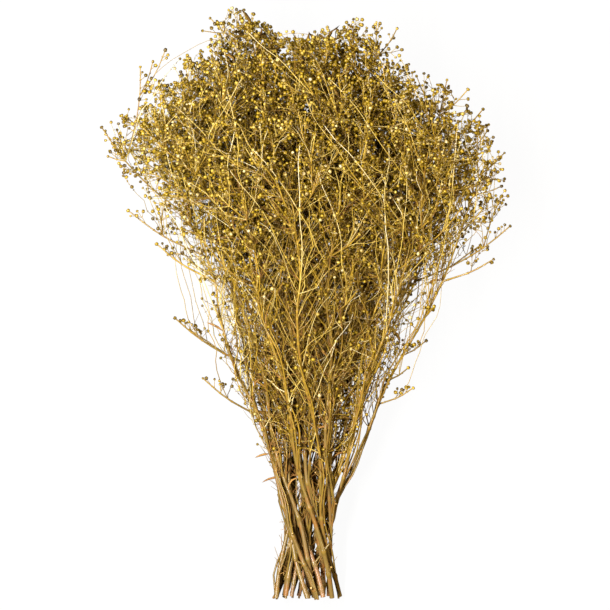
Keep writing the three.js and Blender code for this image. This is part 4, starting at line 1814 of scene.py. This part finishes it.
def shade_chaff_skins(stem):
    inner = [fork for fork in stem["forks"] if room(fork[0]) < CHAFF_SHADED_ROOM and fork[0][1] > CHAFF_Y]
    lines, tints = [], []
    for at, direction, turn in inner:
        if fine() > CHAFF_SHARE:
            continue
        heading = along_from(direction, sideways(direction, turn), mix(0.6, 2, fine()))
        line = [at]
        for _ in range(CHAFF_STEPS):
            line.append(along_from(line[-1], unit(heading), mix(*CHAFF_STEP, fine())))
            heading = along_from(heading, [fine() - 0.5, fine() - 0.5, fine() - 0.5], 1.4)
        if welcome(at, line[-1]):
            lines.append(line)
            tints.append(fine())
    if not lines:
        return []
    widths, height = np.broadcast_to(CHAFF_WIDTH, (len(lines), 4)), [[0, 0.3, 0.6, 0.98]]
    tint = tinted(tints, *CHAFF_SHADE_TINT)
    return [skin(lines, widths, tint, height, 3, du=0.06, flat=0.2, poles=(True, True))]


print("chaff is up to", CHAFF_STEPS * CHAFF_STEP[1], "mm long and", 2 * CHAFF_WIDTH[1], "mm wide")

# %% [markdown]
# ### Dead twigs and curled leaves
# The joints of the lower stems keep a few narrow leaves that have curled and browned. A leaf is a
# flattened body on a line that curls more and more, with its width from a row of shares. The dead twigs
# get the same finish, because they have lost their bark.

# %% Bracts of one stem
DEAD_WIDTH = (0.45, 0.38, 0.3, 0.22)
DEAD_TINT = (0.05, 0.85)
LEAF = (9, 22)
LEAF_WIDTH = 1.2
LEAF_AROUND = 0.06  # this much of the map's width goes around a leaf
LEAF_FLAT = 0.14
LEAF_Y = (-230, 40)
LEAF_CHANCE = 0.16
LEAF_TINT = (0.5, 0.42)
LEAF_RINGS = (0, 0.12, 0.35, 0.62, 0.86, 1)
LEAF_SHAPE = (0, 0.6, 1, 0.86, 0.45, 0)
LEAF_SPREAD = (0.5, 1.3)
LEAF_CURL = (0.4, 2.4)


def curled_leaf(at, direction, radius, turn):
    length = mix(*LEAF, fine())
    spread, curl = mix(*LEAF_SPREAD, fine()), mix(*LEAF_CURL, fine())
    line, point = [], along_from(at, sideways(direction, turn), radius * 0.7)
    for k, share in enumerate(LEAF_RINGS):
        step = length * (share - LEAF_RINGS[max(k - 1, 0)])
        point = along_from(point, forked(direction, turn, spread + curl * share), step)
        point[2] = max(point[2], 0.8)
        line.append(point)
    return line, [LEAF_WIDTH * width for width in LEAF_SHAPE], fine()


def leaf_skins(stem):
    axis, leaves = stem["axis"], []
    for i in range(1, len(axis["points"]) - 1):
        at, y = axis["points"][i], axis["points"][i][1]
        if LEAF_Y[0] < y < LEAF_Y[1]:
            direction, turn = unit(way(at, axis["points"][i + 1])), fine() * math.pi
            for side in (0, math.pi):
                if fine() < LEAF_CHANCE:
                    leaves.append(curled_leaf(at, direction, axis["radii"][i], turn + side))
    if not leaves:
        return []
    lines, widths, tints = zip(*leaves)
    tint = tinted(tints, *LEAF_TINT)
    return [skin(lines, widths, tint, [LEAF_RINGS], 4, LEAF_AROUND, flat=LEAF_FLAT, poles=(True, True))]


def dead_twig_skins(stem):
    if not stem["dead_twigs"]:
        return []
    tint = tinted([fine() for _ in stem["dead_twigs"]], *DEAD_TINT)
    widths = np.broadcast_to(DEAD_WIDTH, (len(tint), 4))
    return [skin(stem["dead_twigs"], widths, tint, [[0, 0.3, 0.6, 0.9]], 3, du=0.04)]


def bract_skins(stem):
    return scale_skins(stem) + shade_chaff_skins(stem) + dead_twig_skins(stem) + leaf_skins(stem)


print("a leaf is up to", LEAF[1], "mm long and", 2 * LEAF_WIDTH, "mm wide")

# %% [markdown]
# ## Finishes
# All three finishes read only the map that came with the skins, so that a pattern stays on its rod or
# capsule wherever that lies. Blender's colours are linear, and the colours listed here are sRGB, so one
# function turns one into the other. One more adds a node with its settings and links.

# %% Colours and nodes
def linear(hex_colour):
    channels = [int(hex_colour[i:i + 2], 16) / 255 for i in (1, 3, 5)]
    return [c / 12.92 if c <= 0.04045 else ((c + 0.055) / 1.055) ** 2.4 for c in channels] + [1]


def connect(tree, node, inputs):
    """Fills a node's inputs. Each is a value, or a (node, output) pair to link."""
    for name, value in inputs.items():
        if isinstance(value, tuple) and isinstance(value[0], bpy.types.Node):
            tree.links.new(value[0].outputs[value[1]], node.inputs[name])
        else:
            node.inputs[name].default_value = value


def add(tree, kind, inputs, stops=(), **settings):
    """Adds one node. Stops are (position, hex colour) rows of a colour ramp."""
    node = tree.nodes.new("ShaderNode" + kind)
    for name, value in settings.items():
        setattr(node, name, value)
    connect(tree, node, inputs)
    for k, (position, colour) in enumerate(stops):
        element = node.color_ramp.elements[k] if k < 2 else node.color_ramp.elements.new(position)
        element.position, element.color = position, linear(colour)
    return node


print("middle grey #808080 is", round(linear("#808080")[0], 3), "in linear light")

# %% [markdown]
# ### What the finishes share
# Straw, paper and dead leaf are all cellulose fibres. Cellulose has an IOR of about 1.5, which is the
# shader's own, and is no metal. Its loose fibres scatter most of the gloss, so the specular level is low.
# The fibres show in the same way on all three: a darker and lighter grain, and a shallow relief that
# follows it. So one function lays such a grain over a colour. Its scale is in grains for each unit of the
# map, and its depth in millimetres.

# %% A finish on the map, and its grain
MULTIPLY = {"data_type": "RGBA", "blend_type": "MULTIPLY"}
GRAIN_CONTRAST = {"From Min": 0.3, "From Max": 0.7}


def finish_on_map(name):
    """A new material: its tree, its surface, the map, and the map's two directions."""
    material = bpy.data.materials.new(name)
    material.use_nodes = True
    tree = material.node_tree
    place = add(tree, "UVMap", {}, uv_map=PLANT_MAP)
    parts = add(tree, "SeparateXYZ", {"Vector": (place, "UV")})
    return material, tree, tree.nodes["Principled BSDF"], place, parts


def grained(tree, colour, place, scale, detail, shades, relief, depth):
    """Lays a grain over a colour. Gives its noise, the new colour and its relief."""
    stretched = add(tree, "Mapping", {"Vector": place, "Scale": (*scale, 1)})
    noise = add(tree, "TexNoise", {"Vector": (stretched, "Vector"), "Scale": 1.0, "Detail": detail})
    shade = add(tree, "MapRange", {
        "Value": (noise, "Fac"), **GRAIN_CONTRAST, "To Min": shades[0], "To Max": shades[1],
    })
    coloured = add(tree, "Mix", {0: 1.0, 6: colour, 7: (shade, "Result")}, **MULTIPLY)
    bump = add(tree, "Bump", {"Height": (noise, "Fac"), "Strength": relief, "Distance": depth * MM})
    return noise, (coloured, 2), (bump, "Normal")


print("a grain goes over a colour by", MULTIPLY["blend_type"])

# %% [markdown]
# ### Dried straw of the stems
# The stems are hollow straw: air-dried, ribbed lengthwise, with the last of the green gone to olive and
# tan near the cut and to pale gold in the twigs. To the eye that is a dull satin with fine streaks a few
# tenths of a millimetre apart, drawn here 0.7 mm apart so that they show, and with rusty patches some
# 18 mm long where leaf sheaths rotted, most of them on old wood. Straw has a thin wax over it, which is
# the gloss of the coat, while the body below is matt. The map's height gives the age, so one ramp colours
# all the rods. Its last strip is the cut: a dark rim, and pith that gets paler towards the middle.

# %% Straw
MAP_AROUND = round(math.pi * AXIS_RADIUS[0] / MAP_ROUND)  # mm: half way round a rod at its cut
STREAK_MM = (22, 0.7)
PATCH_MM = (18, 9)
# The palest ages, which the outside of the bunch gets, are partly painted highlight, and the darkest, which
# its inside gets, partly painted shade.
STRAW_AGES_AND_PAINTED_LIGHT = [
    (0.0, "#8C6644"), (0.05, "#7C643A"), (0.16, "#76602A"), (0.28, "#8C7028"), (0.42, "#AC8A24"),
    (0.60, "#CEB45A"), (0.78, "#ECE0B8"), (0.945, "#F2ECCE"), (0.95, "#7F5828"), (0.965, "#C49C5A"),
    (0.99, "#E6CC92"),
]


def straw_finish():
    material, tree, surface, place, parts = finish_on_map("dried_gypsophila_straw")
    age = add(tree, "ValToRGB", {"Fac": (parts, "Y")}, STRAW_AGES_AND_PAINTED_LIGHT)
    in_mm = add(tree, "Mapping", {"Vector": (place, "UV"), "Scale": (MAP_LENGTH, MAP_AROUND, 1)})
    patchy = add(tree, "Mapping", {
        "Vector": (in_mm, "Vector"), "Scale": (1 / PATCH_MM[0], 1 / PATCH_MM[1], 1),
    })
    patches = add(tree, "TexNoise", {"Vector": (patchy, "Vector"), "Scale": 1.0, "Detail": 3.0})
    rusty = add(tree, "MapRange", {"Value": (patches, "Fac"), "From Min": 0.5, "From Max": 0.68})
    old_wood = add(tree, "MapRange", {
        "Value": (parts, "Y"), "From Min": 0.1, "From Max": 0.5, "To Min": 0.75, "To Max": 0.12,
    })
    rust = add(tree, "Math", {0: (rusty, "Result"), 1: (old_wood, "Result")}, operation="MULTIPLY")
    stained = add(tree, "Mix", {0: (rust, "Value"), 6: (age, "Color"), 7: linear("#8F5A28")},
                  data_type="RGBA")
    streaks = (1 / STREAK_MM[0], 1 / STREAK_MM[1])
    _, colour, relief = grained(
        tree, (stained, 2), (in_mm, "Vector"), streaks, 2.0, (0.72, 1.12), 0.35, 0.3)
    dull = add(tree, "MapRange", {"Value": (patches, "Fac"), "To Min": 0.3, "To Max": 0.62})
    connect(tree, surface, {
        "Base Color": colour, "Normal": relief, "Roughness": (dull, "Result"),
        "Specular IOR Level": 0.15, "Coat Weight": 0.7, "Coat Roughness": 0.28,
    })
    return material


straw = straw_finish()
print("the map is", MAP_LENGTH, "mm long and", MAP_AROUND, "mm high on a rod")

# %% [markdown]
# ### Papery capsules
# A capsule is thin paper over seeds: the dried calyx, shrunk tight, with a faint wax gloss on its belly.
# Tints run from olive brown to mustard gold and pale straw, darkest at the foot and in the dimple where
# dust and old petals sit. The paper has a mottling about a third of a millimetre high, stretched around
# the capsule to about a millimetre.

# %% Capsule paper
CAPSULE_MM = (11.3, 2.9)  # once around a capsule, and from its foot to its dimple
MOTTLE_MM = (0.94, 0.32)
# The palest tints, given to capsules on the outside, are partly painted highlight; the darkest, given deep
# inside, partly painted shade.
CAPSULE_TINTS_AND_PAINTED_LIGHT = [
    (0.0, "#4C3C04"), (0.18, "#685204"), (0.4, "#90760A"), (0.62, "#B09420"), (0.82, "#C8B054"),
    (1.0, "#E8DCB8"),
]
FOOT_TO_DIMPLE = [
    (0.0, "#7C6E5C"), (0.2, "#C4BAAA"), (0.5, "#FFFFFF"), (0.8, "#E8DECA"), (0.98, "#7A6850"),
]


def capsule_finish():
    material, tree, surface, place, parts = finish_on_map("dried_gypsophila_capsule")
    tint = add(tree, "ValToRGB", {"Fac": (parts, "X")}, CAPSULE_TINTS_AND_PAINTED_LIGHT)
    height = add(tree, "ValToRGB", {"Fac": (parts, "Y")}, FOOT_TO_DIMPLE)
    shaded = add(tree, "Mix", {0: 1.0, 6: (tint, "Color"), 7: (height, "Color")}, **MULTIPLY)
    mottles = (round(CAPSULE_MM[0] / MOTTLE_MM[0]) / CAPSULE_AROUND, round(CAPSULE_MM[1] / MOTTLE_MM[1]))
    mottling, colour, relief = grained(
        tree, (shaded, 2), (place, "UV"), mottles, 2.0, (0.8, 1.12), 0.3, 0.2)
    rough = add(tree, "MapRange", {"Value": (mottling, "Fac"), "To Min": 0.45, "To Max": 0.72})
    connect(tree, surface, {
        "Base Color": colour, "Normal": relief, "Roughness": (rough, "Result"),
        "Specular IOR Level": 0.1, "Coat Weight": 0.8, "Coat Roughness": 0.28,
    })
    print("mottles around and up a capsule:", [round(c) for c in (mottles[0] * CAPSULE_AROUND, mottles[1])])
    return material


paper = capsule_finish()

# %% [markdown]
# ### Withered bracts
# Scales and leaves are dead leaf: tobacco brown to dull straw, thin and matt, paler along the veins, which
# run lengthwise about half a millimetre apart. The real ones are finer still, but would not show.

# %% Dead leaf
LEAF_AROUND_MM = 4.8  # both sides of a leaf
VEIN_MM = 0.5
VEINS_ALONG = 2.5  # shades of a vein from a leaf's foot to its tip
LEAF_TINTS = [(0.0, "#5C4616"), (0.25, "#7E6024"), (0.5, "#84582C"), (0.75, "#9A7038"), (1.0, "#AE8A4C")]


def bract_finish():
    material, tree, surface, place, parts = finish_on_map("withered_gypsophila_leaf")
    tint = add(tree, "ValToRGB", {"Fac": (parts, "X")}, LEAF_TINTS)
    veins = (round(LEAF_AROUND_MM / VEIN_MM / LEAF_AROUND), VEINS_ALONG)
    _, colour, relief = grained(tree, (tint, "Color"), (place, "UV"), veins, 3.0, (0.7, 1.2), 0.5, 0.3)
    connect(tree, surface, {
        "Base Color": colour, "Normal": relief, "Roughness": 0.75, "Specular IOR Level": 0.2,
    })
    return material


dead_leaf = bract_finish()
print("finishes:", [material.name for material in (straw, paper, dead_leaf)])

# %% [markdown]
# ## Dressing the stems
# Each packed stem is replaced by the wood grown on its own skeleton. Its capsules and its bracts are
# pieces of their own, because each takes its finish from another material slot.

# %% All stems
counted = {"wood": 0, "capsules": 0, "bracts": 0}
for index, stem in enumerate(stems):
    name = stem_name(index)
    wood, triangles = piece_from(name + "_wood", wood_skins(stem), straw)
    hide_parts(name)
    counted["wood"] += triangles
    counted["capsules"] += piece_from(name + "_capsules", capsule_skins(stem), paper)[1]
    counted["bracts"] += piece_from(name + "_bracts", bract_skins(stem), dead_leaf)[1]
print("triangles:", counted, "in all", sum(counted.values()))

# %% [markdown]
# ## Floor
# The bunch lies on an evenly lit white sheet, as on a light table. Light from lamps would leave grey
# shadows on it, so its own colour is dark and nearly all its light is a glow that just reaches white. A
# stronger glow would bloom over stalks as thin as a hair and swallow them. The glow is kept off the plant,
# which would else be lit from below.

# %% White sheet
bpy.ops.mesh.primitive_plane_add(size=20, location=(0, 0, -0.0005))
floor = bpy.context.active_object
floor.name = "floor"
sheet = bpy.data.materials.new("white_floor")
sheet.use_nodes = True
connect(sheet.node_tree, sheet.node_tree.nodes["Principled BSDF"], {
    "Base Color": linear("#2C2C2C"), "Roughness": 0.9, "Specular IOR Level": 0,
    "Emission Color": linear("#FFFFFF"), "Emission Strength": 0.95,
})
floor.data.materials.append(sheet)
floor.visible_diffuse = False
floor.visible_glossy = False
print("sheet:", round(floor.dimensions.x), "m across")

# %% [markdown]
# ## Light
# Round rods and capsules show their form by a bright side, a dark side and a fine line of light between.
# Two long narrow strip lamps hang to the left and right of the bunch and run along it, so that every rod
# gets one thin highlight along its length: a neutral key from the left, and a warmer fill from the right.
# Broader lamps would wash the capsules flat. A dim warm world lets the gaps between the rods go dark.

# %% Strip lamps and world
def lamp(name, location, aim, length, width, power, colour):
    """A strip lamp. Its length runs across the direction in which it leans."""
    light = bpy.data.lights.new(name, "AREA")
    light.shape = "RECTANGLE"
    light.size, light.size_y = length, width
    light.energy = power
    light.color = linear(colour)[:3]
    holder = bpy.data.objects.new(name, light)
    bpy.context.scene.collection.objects.link(holder)
    holder.location = location
    down = [a - b for a, b in zip(aim, location)]
    pitch = math.atan2(math.hypot(down[0], down[1]), -down[2])
    holder.rotation_euler = (pitch, 0, math.atan2(down[0], -down[1]) if pitch else 0)
    return holder


key = lamp("key_lamp", (-0.8, 0.15, 1.9), (0, 0.15, 0.1), 2.0, 0.16, 196, "#FFFDF8")
fill_light = lamp("fill_lamp", (1.3, 0.1, 1.6), (0, 0.1, 0.1), 2.0, 0.25, 175, "#FFEED0")
world = bpy.data.worlds.new("dim_room")
bpy.context.scene.world = world
world.use_nodes = True
room_light = world.node_tree.nodes["Background"]
connect(world.node_tree, room_light, {"Color": linear("#F0B84C"), "Strength": 0.05})
print("lamps:", {holder.name: holder.data.energy for holder in (key, fill_light)}, "watts")

# %% [markdown]
# ## Camera
# The camera looks straight down on the lying bunch. A near camera would swell the crown, which stands
# 0.2 m above the sheet, so it stands 6 m away with a long lens. The lens is worked out from the width
# that its view has to take in at half the height of the bunch.

# %% Camera
FRAME_WIDTH = 0.6168
CAMERA_HEIGHT = 6
MIDDLE_HEIGHT = 0.1
SENSOR = 36
camera_data = bpy.data.cameras.new("camera")
camera_data.sensor_width = SENSOR
camera_data.lens = SENSOR * (CAMERA_HEIGHT - MIDDLE_HEIGHT) / FRAME_WIDTH
camera_data.clip_end = 50
camera = bpy.data.objects.new("camera", camera_data)
camera.location = (-0.001, 0.0022, CAMERA_HEIGHT)
bpy.context.scene.collection.objects.link(camera)
bpy.context.scene.camera = camera
bpy.context.scene.view_settings.view_transform = "Standard"
print("lens:", round(camera_data.lens, 1), "mm")
